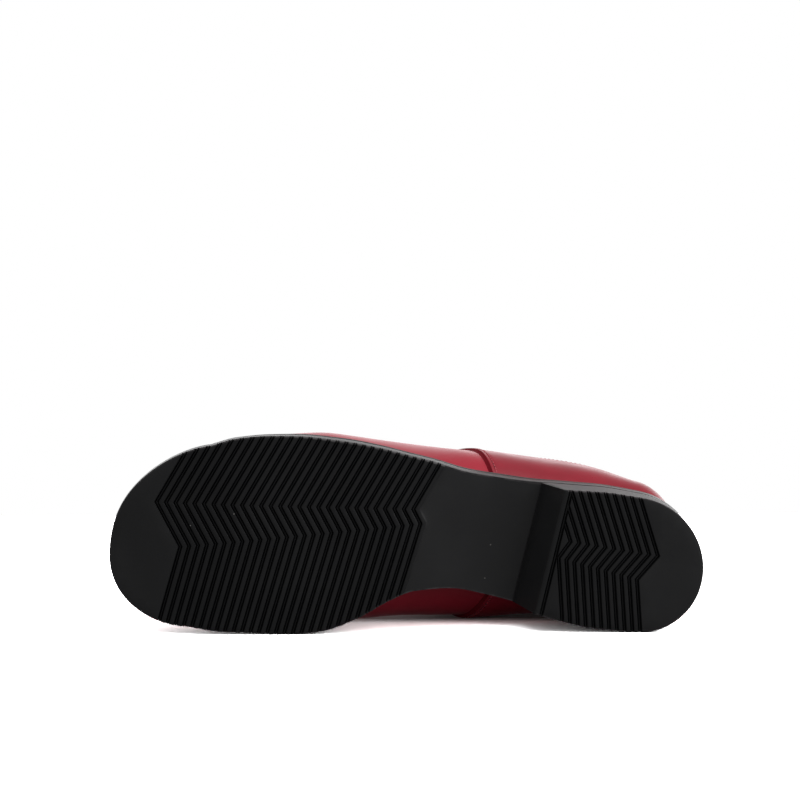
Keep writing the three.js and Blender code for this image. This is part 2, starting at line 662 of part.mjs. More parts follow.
// Volume of a mesh times its density, and the centre of that mass
function massOf(mesh) {
  const { position } = mesh.geometry.attributes;
  const corners = mesh.geometry.index.array;
  const [a, b, c] = [new THREE.Vector3(), new THREE.Vector3(), new THREE.Vector3()];
  const moment = new THREE.Vector3();
  let volume = 0;
  for (let i = 0; i < corners.length; i += 3) {
    a.fromBufferAttribute(position, corners[i]);
    b.fromBufferAttribute(position, corners[i + 1]);
    c.fromBufferAttribute(position, corners[i + 2]);
    const share = a.dot(b.clone().cross(c)) / 6;
    volume += share;
    moment.addScaledVector(a.clone().add(b).add(c), share / 4);
  }
  return { mass: volume * mesh.userData.density, moment: moment.multiplyScalar(mesh.userData.density) };
}

// Turns the shoe on to its medial side and lets it settle on the face of its hull under its weight
function layOnSide(shoe) {
  const points = [];
  const centre = new THREE.Vector3();
  let mass = 0;
  for (const mesh of shoe.children) {
    const { position } = mesh.geometry.attributes;
    for (let i = 0; i < position.count; i += 1) {
      points.push(new THREE.Vector3().fromBufferAttribute(position, i));
    }
    const part = massOf(mesh);
    mass += part.mass;
    centre.add(part.moment);
  }
  centre.divideScalar(mass);
  const down = new THREE.Vector3(0, -1, 0);
  let nearest = Infinity;
  let floor = down;
  for (const face of new ConvexHull().setFromPoints(points).faces) {
    const facing = face.normal.dot(down);
    const distance = facing > 0 ? -face.distanceToPoint(centre) / facing : Infinity;
    if (distance < nearest) {
      nearest = distance;
      floor = face.normal.clone();
    }
  }
  const settle = new THREE.Quaternion().setFromUnitVectors(floor, down);
  const axes = new THREE.Matrix4().makeBasis(
    new THREE.Vector3(-1, 0, 0), new THREE.Vector3(0, 0, 1), new THREE.Vector3(0, 1, 0));
  shoe.quaternion.setFromRotationMatrix(axes).multiply(settle);
  shoe.updateMatrixWorld(true);
  const box = new THREE.Box3().setFromPoints(points.map((p) => p.applyMatrix4(shoe.matrixWorld)));
  shoe.position.set(-(box.min.x + box.max.x) / 2, -(box.min.y + box.max.y) / 2, -box.min.z);
  return shoe;
}

const shoe = new THREE.Group();
shoe.add(piece('outsole', 'rubber', outsole()));
shoe.add(piece('heel', 'rubber', heel()));
shoe.add(piece('upper', 'leather', upper()));
shoe.add(piece('tongue', 'leather', tongue()));
shoe.add(piece('insole', 'lining', insole()));
eyelets().forEach((pair, i) => shoe.add(piece(`lace_bar_${i + 1}`, 'lace', laceBar(pair))));

const group = new THREE.Group();
group.add(layOnSide(shoe));

export default group;
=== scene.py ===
# A left derby shoe of plain red leather on a black rubber sole, lying on its inner side.
# Shapes are worked out in millimetres in the frame of the last: x from the heel to the toe, y to the outer
# side of the foot and z up from the tread. Every piece is then laid on its side where the frame has it.

import json
import math

import bpy
import numpy as np
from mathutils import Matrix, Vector
from mathutils.geometry import delaunay_2d_cdt


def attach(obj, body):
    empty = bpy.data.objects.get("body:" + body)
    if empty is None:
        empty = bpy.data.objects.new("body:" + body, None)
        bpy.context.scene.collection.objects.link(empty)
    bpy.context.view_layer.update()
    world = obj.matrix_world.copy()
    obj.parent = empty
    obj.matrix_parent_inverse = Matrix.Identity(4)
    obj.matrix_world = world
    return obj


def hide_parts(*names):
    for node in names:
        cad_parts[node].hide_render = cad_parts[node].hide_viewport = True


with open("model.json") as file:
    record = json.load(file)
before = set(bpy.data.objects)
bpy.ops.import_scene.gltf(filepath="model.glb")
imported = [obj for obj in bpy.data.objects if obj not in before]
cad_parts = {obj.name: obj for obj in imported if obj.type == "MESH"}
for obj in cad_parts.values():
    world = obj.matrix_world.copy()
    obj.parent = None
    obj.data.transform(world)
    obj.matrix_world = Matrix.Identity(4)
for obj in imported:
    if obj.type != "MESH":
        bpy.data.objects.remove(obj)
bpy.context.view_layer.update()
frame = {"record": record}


# Insole
# A thin board under a sock of smooth tan leather, glued down inside the shoe. It follows the heel seat,
# the arch and the toe spring, and its rim is rounded.

SOLE_LENGTH = 265
BALL_WIDTH = 90
HEEL_HEIGHT = 22.6
SOLE_EDGE = 7.6
TOE_SPRING = 9
SEAT_GAP = 0.45
WALL = 1.8
INSOLE_THICKNESS = 2.2
INSOLE_CLEAR = 0.9
FEATHER_INSET = {"heel": 2.6, "toe": 4.6}
ARCH_BACK = 0.295 * SOLE_LENGTH
ARCH_FRONT = 0.53 * SOLE_LENGTH
SPRING_START = 0.75 * SOLE_LENGTH
SPRING_LIMIT = 1.1

# Outline of the sole: a row for each section, as shares of the sole length and of the ball width
SOLE_COLUMNS = ("at", "medial", "lateral")
SOLE_SECTIONS = [
    (11.7, -34.5, 33.3),
    (17.4, -34.9, 33.8),
    (24.2, -32.9, 32.6),
    (30.2, -29.6, 31.8),
    (35.8, -26.9, 32.6),
    (41.1, -25.0, 33.8),
    (48.1, -27.8, 37.8),
    (51.7, -33.3, 39.2),
    (57.0, -44.8, 41.1),
    (62.3, -53.1, 42.1),
    (67.9, -57.0, 42.2),
    (75.1, -58.9, 40.4),
    (81.1, -60.3, 36.7),
    (85.3, -59.8, 31.4),
]
HEEL_CENTRE = SOLE_SECTIONS[0][0] * SOLE_LENGTH / 100
TOE_CENTRE = SOLE_SECTIONS[-1][0] * SOLE_LENGTH / 100
TOE_ROUND = {"length_power": 1.6, "width_power": 2.3, "drift": -7.9}
HEEL_ROUND = {"length_power": 2, "width_power": 2, "drift": -1.7}
QUARTER_TURN = math.pi / 2


def smooth_column(rows, columns, name, scale):
    """Smooth curve through one column of a table, which never swings past its rows."""
    xs = np.array([row[0] for row in rows]) * SOLE_LENGTH / 100
    ys = np.array([row[columns.index(name)] for row in rows]) * scale / 100
    steps = np.diff(ys) / np.diff(xs)
    product = steps[:-1] * steps[1:]
    total = np.where(product > 0, steps[:-1] + steps[1:], 1)
    slopes = np.concatenate([steps[:1], np.where(product > 0, 2 * product / total, 0), steps[-1:]])

    def curve(x):
        """Value of the column at x."""
        at = np.clip(x, xs[0], xs[-1])
        i = np.clip(np.searchsorted(xs, at) - 1, 0, len(steps) - 1)
        width = xs[i + 1] - xs[i]
        t = (at - xs[i]) / width
        rise = (1 - t) ** 2 * t * slopes[i] - t ** 2 * (1 - t) * slopes[i + 1]
        return ys[i] + (ys[i + 1] - ys[i]) * t * t * (3 - 2 * t) + rise * width

    return curve


sole_medial = smooth_column(SOLE_SECTIONS, SOLE_COLUMNS, "medial", BALL_WIDTH)
sole_lateral = smooth_column(SOLE_SECTIONS, SOLE_COLUMNS, "lateral", BALL_WIDTH)


def mix(a, b, share):
    """Value at a share of the way from a to b."""
    return a + (b - a) * share


def ease(x, start, end):
    """Smooth step from 0 at the start to 1 at the end."""
    t = np.clip((x - start) / (end - start), 0, 1)
    return t * t * (3 - 2 * t)


def bottom_height(x):
    """Height of the outsole's under side: heel seat, arch, flat forefoot and toe spring."""
    spring = np.clip((x - SPRING_START) / (SOLE_LENGTH - SPRING_START), 0, SPRING_LIMIT)
    return (HEEL_HEIGHT - SOLE_EDGE) * (1 - ease(x, ARCH_BACK, ARCH_FRONT)) + TOE_SPRING * spring ** 2


def feather_height(x):
    """Height of the feather line, where the upper meets the sole."""
    return bottom_height(x) + SOLE_EDGE + SEAT_GAP


def edge_foot(centre_x, turn):
    """Point on the sole's edge seen from a centre: a quarter turn on the sides, less round toe and heel."""
    toe = centre_x > SOLE_LENGTH / 2
    length_power = np.where(toe, TOE_ROUND["length_power"], HEEL_ROUND["length_power"])
    width_power = np.where(toe, TOE_ROUND["width_power"], HEEL_ROUND["width_power"])
    forward = np.clip(np.cos(turn), 0, 1) ** (2 / length_power)
    sideways = np.sign(turn) * np.abs(np.sin(turn)) ** (2 / width_power)
    length = np.where(toe, SOLE_LENGTH - TOE_CENTRE, -HEEL_CENTRE)
    drift = np.where(toe, TOE_ROUND["drift"], HEEL_ROUND["drift"])
    medial = sole_medial(centre_x)
    lateral = sole_lateral(centre_x)
    y = (medial + lateral) / 2 + sideways * (lateral - medial) / 2 + drift * forward
    return np.stack([centre_x + length * forward, y + 0 * centre_x], axis=-1)


def evenly(points, spacing, closed=False):
    """Points at even distances along a line or a closed loop."""
    line = np.vstack([points, points[:1]]) if closed else np.asarray(points, float)
    lengths = np.concatenate([[0], np.cumsum(np.linalg.norm(np.diff(line, axis=0), axis=1))])
    count = max(2, round(lengths[-1] / spacing) + 1)
    stops = np.linspace(0, lengths[-1], count)
    even = np.stack([np.interp(stops, lengths, column) for column in line.T], axis=-1)
    return even[:-1] if closed else even


def sole_outline(spacing):
    """Outline of the sole from above: medial side, toe, lateral side and heel."""
    side = np.linspace(HEEL_CENTRE, TOE_CENTRE, 300)
    turn = np.linspace(-QUARTER_TURN, QUARTER_TURN, 200)
    return evenly(np.vstack([
        edge_foot(side, np.full_like(side, -QUARTER_TURN))[:-1],
        edge_foot(np.full_like(turn, TOE_CENTRE), turn)[:-1],
        edge_foot(side[::-1], np.full_like(side, QUARTER_TURN))[:-1],
        edge_foot(np.full_like(turn, HEEL_CENTRE), turn[::-1])[:-1],
    ]), spacing, closed=True)


def unit(vectors):
    """Vectors brought to a length of one."""
    return vectors / np.linalg.norm(vectors, axis=1, keepdims=True)


def outward(loop):
    """Outward normals of a closed loop that runs counter-clockwise."""
    along = np.roll(loop, -1, axis=0) - np.roll(loop, 1, axis=0)
    return unit(np.stack([along[:, 1], -along[:, 0]], axis=-1))


def inside(points, loop):
    """Whether each point lies inside a closed loop."""
    x, y = points[:, 0], points[:, 1]
    odd = np.zeros(len(points), bool)
    for (ax, ay), (bx, by) in zip(loop, np.roll(loop, -1, axis=0)):
        run = by - ay if by != ay else 1
        odd ^= ((ay > y) != (by > y)) & (x < ax + (y - ay) * (bx - ax) / run)
    return odd


def distance_to(points, line):
    """Distance from each point to the nearest of a close row of points."""
    nearest = np.full(len(points), np.inf)
    for place in line:
        nearest = np.minimum(nearest, np.hypot(points[:, 0] - place[0], points[:, 1] - place[1]))
    return nearest


# Share of their spacing that rows of inner points keep clear of every edge
EDGE_ROOM = 0.6


def grid_inside(outline, spacing, holes=()):
    """Staggered rows of points inside an outline, clear of its edges."""
    low, high = np.min(outline, axis=0), np.max(outline, axis=0)
    rows = []
    for i, y in enumerate(np.arange(low[1], high[1], spacing * math.sqrt(3) / 2)):
        x = np.arange(low[0] + spacing / 2 * (i % 2), high[0], spacing)
        rows.append(np.stack([x, np.full_like(x, y)], axis=-1))
    points = np.vstack(rows)
    points = points[inside(points, outline)]
    for hole in holes:
        points = points[~inside(points, hole)]
    edges = [evenly(loop, spacing / 3, closed=True) for loop in [outline, *holes]]
    clear = np.minimum.reduce([distance_to(points, edge) for edge in edges])
    return points[clear > EDGE_ROOM * spacing]


def edge_rings(triangles):
    """Rings of point numbers along the open edges of a sheet of triangles, with the sheet on their left."""
    sides = np.vstack([triangles[:, [0, 1]], triangles[:, [1, 2]], triangles[:, [2, 0]]])
    known = set(map(tuple, sides))
    following = {a: b for a, b in known if (b, a) not in known}
    rings = []
    while following:
        start, here = following.popitem()
        ring = [start]
        while here != start:
            ring.append(here)
            here = following.pop(here)
        rings.append(np.array(ring))
    return sorted(rings, key=len, reverse=True)


SAME_PLACE = 1e-5
NO_AREA = 1e-9


def triangulate(outline, holes=(), lines=(), inner=()):
    """Triangles inside a flat outline, with edges along the lines and corners at the inner points."""
    points, edges = [], []
    for loop in [outline, *holes]:
        first = len(points)
        points.extend(loop)
        edges.extend((first + i, first + (i + 1) % len(loop)) for i in range(len(loop)))
    for line in lines:
        first = len(points)
        points.extend(line)
        edges.extend((first + i, first + i + 1) for i in range(len(line) - 1))
    points.extend(inner)
    made = delaunay_2d_cdt([Vector(p) for p in points], edges, [], 0, SAME_PLACE)
    flat = np.array([tuple(p) for p in made[0]])
    triangles = np.array([face for face in made[2] if len(face) == 3])
    middle = flat[triangles].mean(axis=1)
    keep = inside(middle, outline)
    for hole in holes:
        keep &= ~inside(middle, hole)
    a, b, c = (flat[triangles[:, k]] for k in range(3))
    area = (b[:, 0] - a[:, 0]) * (c[:, 1] - a[:, 1]) - (b[:, 1] - a[:, 1]) * (c[:, 0] - a[:, 0])
    triangles = triangles[keep & (np.abs(area) > NO_AREA)]
    used = np.unique(triangles)
    number = np.zeros(len(flat), int)
    number[used] = np.arange(len(used))
    return flat[used], number[triangles]


def band(first, second):
    """Faces between two rings of equal count."""
    a, b = np.asarray(first), np.asarray(second)
    return np.stack([a, np.roll(a, -1), np.roll(b, -1), b], axis=-1)


TOP_EDGE_STEP = 2


def closed_slab(lower, triangles, ring, foot_walls, upper_walls, top_edge, top_height, spacing):
    """Points and faces of a slab, with 1 for each face that is a wall and 0 for the others. Rings of foot
    walls go up from the ring round the under side. Upper walls start on the same line with points of their
    own, and reach the edge of the top, whose height depends on x."""
    even_edge = evenly(top_edge, TOP_EDGE_STEP, closed=True)
    top_flat, top_triangles = triangulate(top_edge, inner=grid_inside(even_edge, spacing))
    top_ring = np.array([np.argmin(((top_flat - place) ** 2).sum(axis=1)) for place in top_edge])
    points = [lower, *foot_walls, *upper_walls, np.column_stack([top_flat, top_height(top_flat[:, 0])])]
    starts = np.cumsum([0] + [len(part) for part in points])
    numbers = [start + np.arange(len(part)) for start, part in zip(starts, points)]
    upper_start = 1 + len(foot_walls)
    bottom = [tuple(face[::-1]) for face in triangles]
    walls = []
    for rings in ([ring, *numbers[1:upper_start]], [*numbers[upper_start:-1], starts[-2] + top_ring]):
        for below, above in zip(rings, rings[1:]):
            walls.extend(tuple(dict.fromkeys(face)) for face in band(below, above))
    walls = [face for face in walls if len(face) > 2]
    top = list(map(tuple, starts[-2] + top_triangles))
    return np.vstack(points), bottom + walls + top, np.repeat([0, 1, 0], [len(bottom), len(walls), len(top)])


# Where the last lies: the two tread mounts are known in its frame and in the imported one
HEEL_MOUNT = Vector((9, 0, 0))
BALL_MOUNT = Vector((167.4, 30, 0))
MILLIMETRE = 0.001
mounts = {mount["name"]: mount for mount in frame["record"]["mounts"]}
mount_line = BALL_MOUNT - HEEL_MOUNT
mount_turn = math.atan2(mount_line.y, mount_line.x)
last_up = -Vector(mounts["heel_tread"]["axis"]).normalized()
heel_place = Vector(mounts["heel_tread"]["pos_m"])
line_place = (Vector(mounts["forefoot_tread"]["pos_m"]) - heel_place).normalized()
last_ahead = line_place * math.cos(mount_turn) - last_up.cross(line_place) * math.sin(mount_turn)
last_aside = last_up.cross(last_ahead)
LAST_AXES = np.array([last_ahead, last_aside, last_up])
LAST_ORIGIN = np.array(heel_place) - np.array(HEEL_MOUNT) @ LAST_AXES * MILLIMETRE


def shoe_piece(name, points, faces, materials, crease_angle=40, face_materials=None):
    """Object made of points in the frame of the last, resting on the floor where it would sink into it.
    Its faces take the materials whose numbers are given for them, or else the first."""
    places = np.asarray(points) @ LAST_AXES * MILLIMETRE + LAST_ORIGIN
    places[:, 2] = np.maximum(places[:, 2], 0)
    mesh = bpy.data.meshes.new(name)
    mesh.from_pydata(places.tolist(), [], [tuple(map(int, face)) for face in faces])
    for material in materials:
        mesh.materials.append(material)
    if face_materials is not None:
        mesh.polygons.foreach_set("material_index", np.asarray(face_materials, np.int32))
    mesh.shade_smooth()
    mesh.set_sharp_from_angle(angle=math.radians(crease_angle))
    mesh.validate()
    piece = bpy.data.objects.new(name, mesh)
    bpy.context.scene.collection.objects.link(piece)
    return piece


def add_node(tree, kind, inputs=None, **settings):
    """New shader node with its settings, and with values or links on its inputs."""
    made = tree.nodes.new(kind)
    for name, value in settings.items():
        setattr(made, name, value)
    for name, value in (inputs or {}).items():
        if isinstance(value, bpy.types.NodeSocket):
            tree.links.new(value, made.inputs[name])
        else:
            made.inputs[name].default_value = value
    return made


def new_group(name, inputs, outputs):
    """Shader node group: its inputs with their kinds and usual values, and its outputs with their kinds."""
    tree = bpy.data.node_groups.new(name, "ShaderNodeTree")
    for label, kind, value in inputs:
        tree.interface.new_socket(label, in_out="INPUT", socket_type=kind).default_value = value
    for label, kind in outputs:
        tree.interface.new_socket(label, in_out="OUTPUT", socket_type=kind)
    return tree, tree.nodes.new("NodeGroupInput"), tree.nodes.new("NodeGroupOutput")


def mixed_colour(tree, share, first, second):
    """Output of a node that mixes two colours by a share."""
    return add_node(tree, "ShaderNodeMix", {0: share, 6: first, 7: second}, data_type="RGBA").outputs[2]


def worked_out(tree, operation, *values):
    """Output of a math node."""
    return add_node(tree, "ShaderNodeMath", dict(enumerate(values)), operation=operation).outputs[0]


def ranged(tree, value, start, end, low=0.0, high=1.0, curve="LINEAR"):
    """Output of a node that maps a value between two ends to another range."""
    ends = {"Value": value, "From Min": start, "From Max": end, "To Min": low, "To Max": high}
    return add_node(tree, "ShaderNodeMapRange", ends, interpolation_type=curve).outputs["Result"]


def leather_grain_group():
    """Pebbled hair pores and broad shade of tanned leather: a colour, a roughness and a height."""
    tree, given, result = new_group("leather grain", [
        ("Colour", "NodeSocketColor", (0.3, 0.2, 0.1, 1)),
        ("Deep Colour", "NodeSocketColor", (0.2, 0.1, 0.05, 1)),
        ("Grain Scale", "NodeSocketFloat", 900),
        ("Roughness", "NodeSocketFloat", 0.4),
        ("Unevenness", "NodeSocketFloat", 0.1),
        ("Shade Scale", "NodeSocketFloat", 38),
    ], [("Colour", "NodeSocketColor"), ("Roughness", "NodeSocketFloat"), ("Height", "NodeSocketFloat")])
    place = add_node(tree, "ShaderNodeTexCoord").outputs["Object"]
    pores = add_node(tree, "ShaderNodeTexVoronoi", {
        "Vector": place, "Scale": given.outputs["Grain Scale"], "Randomness": 1.0}, feature="SMOOTH_F1")
    fine = add_node(tree, "ShaderNodeTexNoise", {"Vector": place, "Scale": 1500.0, "Detail": 3.0})
    broad = add_node(tree, "ShaderNodeTexNoise", {
        "Vector": place, "Scale": given.outputs["Shade Scale"], "Detail": 4.0})
    height = worked_out(tree, "ADD", pores.outputs["Distance"], fine.outputs["Fac"])
    shade = ranged(tree, broad.outputs["Fac"], 0.3, 0.7)
    colour = mixed_colour(tree, shade, given.outputs["Colour"], given.outputs["Deep Colour"])
    spread = worked_out(tree, "SUBTRACT", broad.outputs["Fac"], 0.5)
    rough = worked_out(tree, "MULTIPLY_ADD", spread, given.outputs["Unevenness"], given.outputs["Roughness"])
    tree.links.new(colour, result.inputs["Colour"])
    tree.links.new(rough, result.inputs["Roughness"])
    tree.links.new(height, result.inputs["Height"])
    return tree


LEATHER_GRAIN = leather_grain_group()
GRAIN_HEIGHT = 0.1 * MILLIMETRE
SHEEN = {"Sheen Roughness": 0.3, "Sheen Tint": (1.0, 0.40, 0.46, 1)}


def finished(name, group, group_values, shader_values, bump):
    """Material whose colour, roughness and height come from a node group, with plain values on its shader."""
    material = bpy.data.materials.new(name)
    material.use_nodes = True
    tree = material.node_tree
    shader = tree.nodes["Principled BSDF"]
    for socket, value in shader_values.items():
        shader.inputs[socket].default_value = value
    finish = add_node(tree, "ShaderNodeGroup", group_values, node_tree=group)
    raised = add_node(tree, "ShaderNodeBump", {
        "Height": finish.outputs["Height"], "Strength": bump, "Distance": GRAIN_HEIGHT})
    tree.links.new(finish.outputs["Colour"], shader.inputs["Base Color"])
    tree.links.new(finish.outputs["Roughness"], shader.inputs["Roughness"])
    tree.links.new(raised.outputs["Normal"], shader.inputs["Normal"])
    return material


def leather(name, colour, deep_colour, grain_scale, roughness, unevenness, bump,
            coat=0.0, coat_roughness=0.2, specular=0.5, sheen=0.0, shade_scale=38):
    """Leather with the shared grain, under a thin coat of finish where it is polished."""
    grain = {
        "Colour": (*colour, 1), "Deep Colour": (*deep_colour, 1), "Grain Scale": grain_scale,
        "Roughness": roughness, "Unevenness": unevenness, "Shade Scale": shade_scale,
    }
    gloss = {
        "Specular IOR Level": specular, "Coat Weight": coat, "Coat Roughness": coat_roughness,
        "Sheen Weight": sheen, **SHEEN,
    }
    return finished(name, LEATHER_GRAIN, grain, gloss, bump)


lining_leather = leather(
    "tan lining leather", (0.44, 0.29, 0.18), (0.36, 0.22, 0.13),
    grain_scale=700, roughness=0.62, unevenness=0.2, bump=0.35)
# Rings of the rim, as inset and height, and the inset where the flat top begins
INSOLE_RIM = [(0.0, 0.15), (0.0, 1.3), (0.25, 1.8), (0.8, 2.1)]
INSOLE_TOP_INSET = 1.6
INSOLE_STEP = {"edge": 2.0, "under": 5.0, "top": 3.0}


def feather_inset(x):
    """How far the feather line lies inside the edge of the sole."""
    return mix(FEATHER_INSET["heel"], FEATHER_INSET["toe"], ease(x, ARCH_BACK, ARCH_FRONT))


outline = sole_outline(INSOLE_STEP["edge"])
inset = feather_inset(outline[:, 0]) + WALL + INSOLE_CLEAR
foot = outline - outward(outline) * inset[:, None]
foot_flat, foot_triangles = triangulate(foot, inner=grid_inside(foot, INSOLE_STEP["under"]))
rim_walls = []
foot_ring = edge_rings(foot_triangles)[0]
rim_normals = outward(foot_flat[foot_ring])
for rim_inset, height in INSOLE_RIM:
    rim = foot_flat[foot_ring] - rim_normals * rim_inset
    rim_walls.append(np.column_stack([rim, feather_height(rim[:, 0]) + height]))
insole_points, insole_faces, _ = closed_slab(
    np.column_stack([foot_flat, feather_height(foot_flat[:, 0])]), foot_triangles, foot_ring,
    rim_walls[:1], rim_walls, foot_flat[foot_ring] - rim_normals * INSOLE_TOP_INSET,
    lambda x: feather_height(x) + INSOLE_THICKNESS, INSOLE_STEP["top"])
insole = shoe_piece("insole_sock", insole_points, insole_faces, [lining_leather])
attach(insole, "root")
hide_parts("insole")


# Lining
# The inner skin of the upper, one layer of smooth tan leather drawn over the last and cut open at the
# collar and the throat. Its feather edge is turned under and glued between insole and outsole.

INSTEP_HEIGHT = 80
UPPER_COLUMNS = ("at", "medial", "lateral", "swell", "ridge", "drift", "rise", "crown")
# Widths and drift are shares of the ball width, heights of the instep height. rise and crown say how
# full the arch is above the widest point.
UPPER_SECTIONS = [
    (11.7, -32.6, 34.4, 42.0, 160.0, 0.0, 25, 40),
    (20.8, -35.2, 37.7, 52.0, 155.0, 0.0, 45, 45),
    (28.3, -38.9, 38.0, 54.0, 147.0, 0.0, 54, 47),
    (35.8, -43.2, 39.0, 51.0, 132.0, -0.6, 52, 46),
    (42.3, -45.3, 40.0, 47.5, 116.0, -1.3, 47, 46),
    (49.0, -47.0, 40.3, 42.5, 100.6, -2.4, 44, 47),
    (56.6, -50.3, 41.2, 36.0, 88.8, -5.0, 43, 50),
    (64.9, -53.1, 42.1, 31.0, 78.8, -7.8, 45, 53),
    (72.8, -55.6, 38.9, 29.4, 70.0, -10.6, 46, 56),
    (81.1, -57.0, 33.5, 30.0, 61.9, -13.1, 50, 60),
    (85.3, -56.3, 28.4, 31.0, 57.5, -14.2, 52, 62),
]
HEEL_OVERHANG = -4.2
TOE_OVERHANG = -3.4
TOE_POWER = 1.4
HEEL_TURN = 0.9
TUCK = 0.45
LOWEST_SWELL = 7

upper_medial = smooth_column(UPPER_SECTIONS, UPPER_COLUMNS, "medial", BALL_WIDTH)
upper_lateral = smooth_column(UPPER_SECTIONS, UPPER_COLUMNS, "lateral", BALL_WIDTH)
swell_height = smooth_column(UPPER_SECTIONS, UPPER_COLUMNS, "swell", INSTEP_HEIGHT)
ridge_height = smooth_column(UPPER_SECTIONS, UPPER_COLUMNS, "ridge", INSTEP_HEIGHT)
ridge_drift = smooth_column(UPPER_SECTIONS, UPPER_COLUMNS, "drift", BALL_WIDTH)
arch_rise = smooth_column(UPPER_SECTIONS, UPPER_COLUMNS, "rise", 1)
arch_crown = smooth_column(UPPER_SECTIONS, UPPER_COLUMNS, "crown", 1)


def ridge_slope(x):
    """Slope of the ridge along the shoe."""
    return (ridge_height(x + 1) - ridge_height(x - 1)) / 2


def bezier(controls, t):
    """Point of a Bezier curve, whatever its count of control points."""
    points = list(controls)
    while len(points) > 1:
        points = [a + (b - a) * t for a, b in zip(points, points[1:])]
    return points[0]


LENGTH_STOPS = np.linspace(0, 1, 33)
EDGE_TURNS = [QUARTER_TURN * share for share in (1 / 3, 2 / 3, 1)]
PAST_FEATHER = 2.0
SAME_TURN = 1e-9
HALVINGS = 26


def last_section(centre_x, turn):
    """Sections of the last: centre, direction, and the two curves from feather to swell and on to the ridge.
    Each curve comes with its length from the ridge down at every stop."""
    centre = np.stack([centre_x, ridge_drift(centre_x)], axis=-1)
    edge = edge_foot(centre_x, turn)
    reach = np.linalg.norm(edge - centre, axis=-1)
    direction = (edge - centre) / reach[:, None]
    medial = edge[:, 1] < centre[:, 1]
    upper_width = np.where(medial, -upper_medial(centre_x), upper_lateral(centre_x))
    sole_width = np.where(medial, -sole_medial(centre_x), sole_lateral(centre_x))
    toeward = centre_x > SOLE_LENGTH / 2
    ahead = np.abs(direction[:, 0])
    end_share = np.where(toeward, ahead ** TOE_POWER, ease(ahead, 0, HEEL_TURN))
    end_overhang = np.where(toeward, TOE_OVERHANG, HEEL_OVERHANG)
    widest = reach + mix(upper_width - sole_width, end_overhang, end_share)
    tucked = reach - feather_inset(edge[:, 0])
    low = feather_height(edge[:, 0])
    middle = np.maximum(swell_height(centre_x), low + LOWEST_SWELL)
    top = ridge_height(centre_x)
    crown = arch_crown(centre_x) * widest
    crown_top = top + ridge_slope(centre_x) * direction[:, 0] * crown

    def corner(distance, z):
        """Control points in the planes of the sections."""
        return np.stack([distance, z], axis=-1)

    arch = [corner(0 * top, top), corner(crown, crown_top),
            corner(widest, mix(middle, top, arch_rise(centre_x))), corner(widest, middle)]
    lower = [corner(widest, middle), corner(widest, mix(low, middle, TUCK)), corner(tucked, low)]
    curves = []
    for controls in (arch, lower):
        steps = np.diff([bezier(controls, stop) for stop in LENGTH_STOPS], axis=0)
        lengths = np.cumsum(np.linalg.norm(steps, axis=2), axis=0)
        curves.append((controls, np.vstack([np.zeros(len(top)), lengths])))
    return centre, direction, curves


def rib_length(centre_x, turn):
    """Distance over the last from the ridge down to the feather line."""
    _, _, curves = last_section(centre_x, turn)
    return curves[0][1][-1] + curves[1][1][-1]


def on_section(section, down):
    """Points of the last at distances down its sections from the ridge."""
    centre, direction, curves = section
    arch_length = curves[0][1][-1]
    profile = np.zeros((len(down), 2))
    for (controls, lengths), begin in zip(curves, (0, arch_length)):
        rest = np.clip(down - begin, 0, lengths[-1] + (PAST_FEATHER if np.any(begin) else 0))
        i = np.clip((lengths < rest).sum(axis=0) - 1, 0, len(LENGTH_STOPS) - 2)
        each = np.arange(len(down))
        span = lengths[i + 1, each] - lengths[i, each]
        t = LENGTH_STOPS[i] + (rest - lengths[i, each]) / span * LENGTH_STOPS[1]
        here = down >= begin
        profile = np.where(here[:, None], bezier(controls, t[:, None]), profile)
    return np.column_stack([centre + direction * profile[:, :1], profile[:, 1]])


def flat_place(centre_x, turn, down):
    """Place in the flat pattern: the ridge is its middle line, and each section lies straight out from it."""
    ahead = np.where(centre_x > SOLE_LENGTH / 2, 1, -1) * np.cos(turn) * down
    ahead = np.where(np.abs(np.abs(turn) - QUARTER_TURN) < SAME_TURN, 0, ahead)
    return np.stack([centre_x + ahead, np.sin(turn) * down], axis=-1)


def on_last(flat):
    """Points of the last at places of the flat pattern."""
    u, v = np.asarray(flat, float).T
    centre_x = np.clip(u, HEEL_CENTRE, TOE_CENTRE)
    ahead = np.abs(u - centre_x)
    side = np.where(v < 0, -1, 1)
    turn = np.where(ahead == 0, QUARTER_TURN, np.arctan2(np.abs(v), ahead))
    return on_section(last_section(centre_x, side * turn), np.hypot(ahead, v))


NORMAL_STEP = 0.15


def normals_at(flat):
    """Outward normals of the last at places of the flat pattern."""
    flat = np.asarray(flat, float)
    ahead, aside = np.array([NORMAL_STEP, 0]), np.array([0, NORMAL_STEP])
    along = on_last(flat + ahead) - on_last(flat - ahead)
    across = on_last(flat + aside) - on_last(flat - aside)
    return unit(np.cross(along, across))


def lifted(flat, lift):
    """Points at a height over the last, above places of the flat pattern."""
    return on_last(flat) + normals_at(flat) * np.reshape(lift, (-1, 1))


def down_to(centre_x, turn, above):
    """Distance down each section to where its points stop being above an edge."""
    section = last_section(centre_x, turn)
    low = np.zeros(len(centre_x))
    high = sum(lengths[-1] for _, lengths in section[2])
    for _ in range(HALVINGS):
        middle = (low + high) / 2
        is_above = above(on_section(section, middle))
        low = np.where(is_above, middle, low)
        high = np.where(is_above, high, middle)
    return (low + high) / 2


def spline(rows, count):
    """Smooth line through rows of two columns."""
    rows = np.array(rows, float)
    at = np.linspace(0, len(rows) - 1, count)
    i = np.minimum(at.astype(int), len(rows) - 2)
    t = (at - i)[:, None]
    before, a, b = rows[np.maximum(i - 1, 0)], rows[i], rows[i + 1]
    after = rows[np.minimum(i + 2, len(rows) - 1)]
    into, out = (b - before) / 2, (after - a) / 2
    return (2 * (a - b) + into + out) * t ** 3 + (3 * (b - a) - 2 * into - out) * t ** 2 + into * t + a


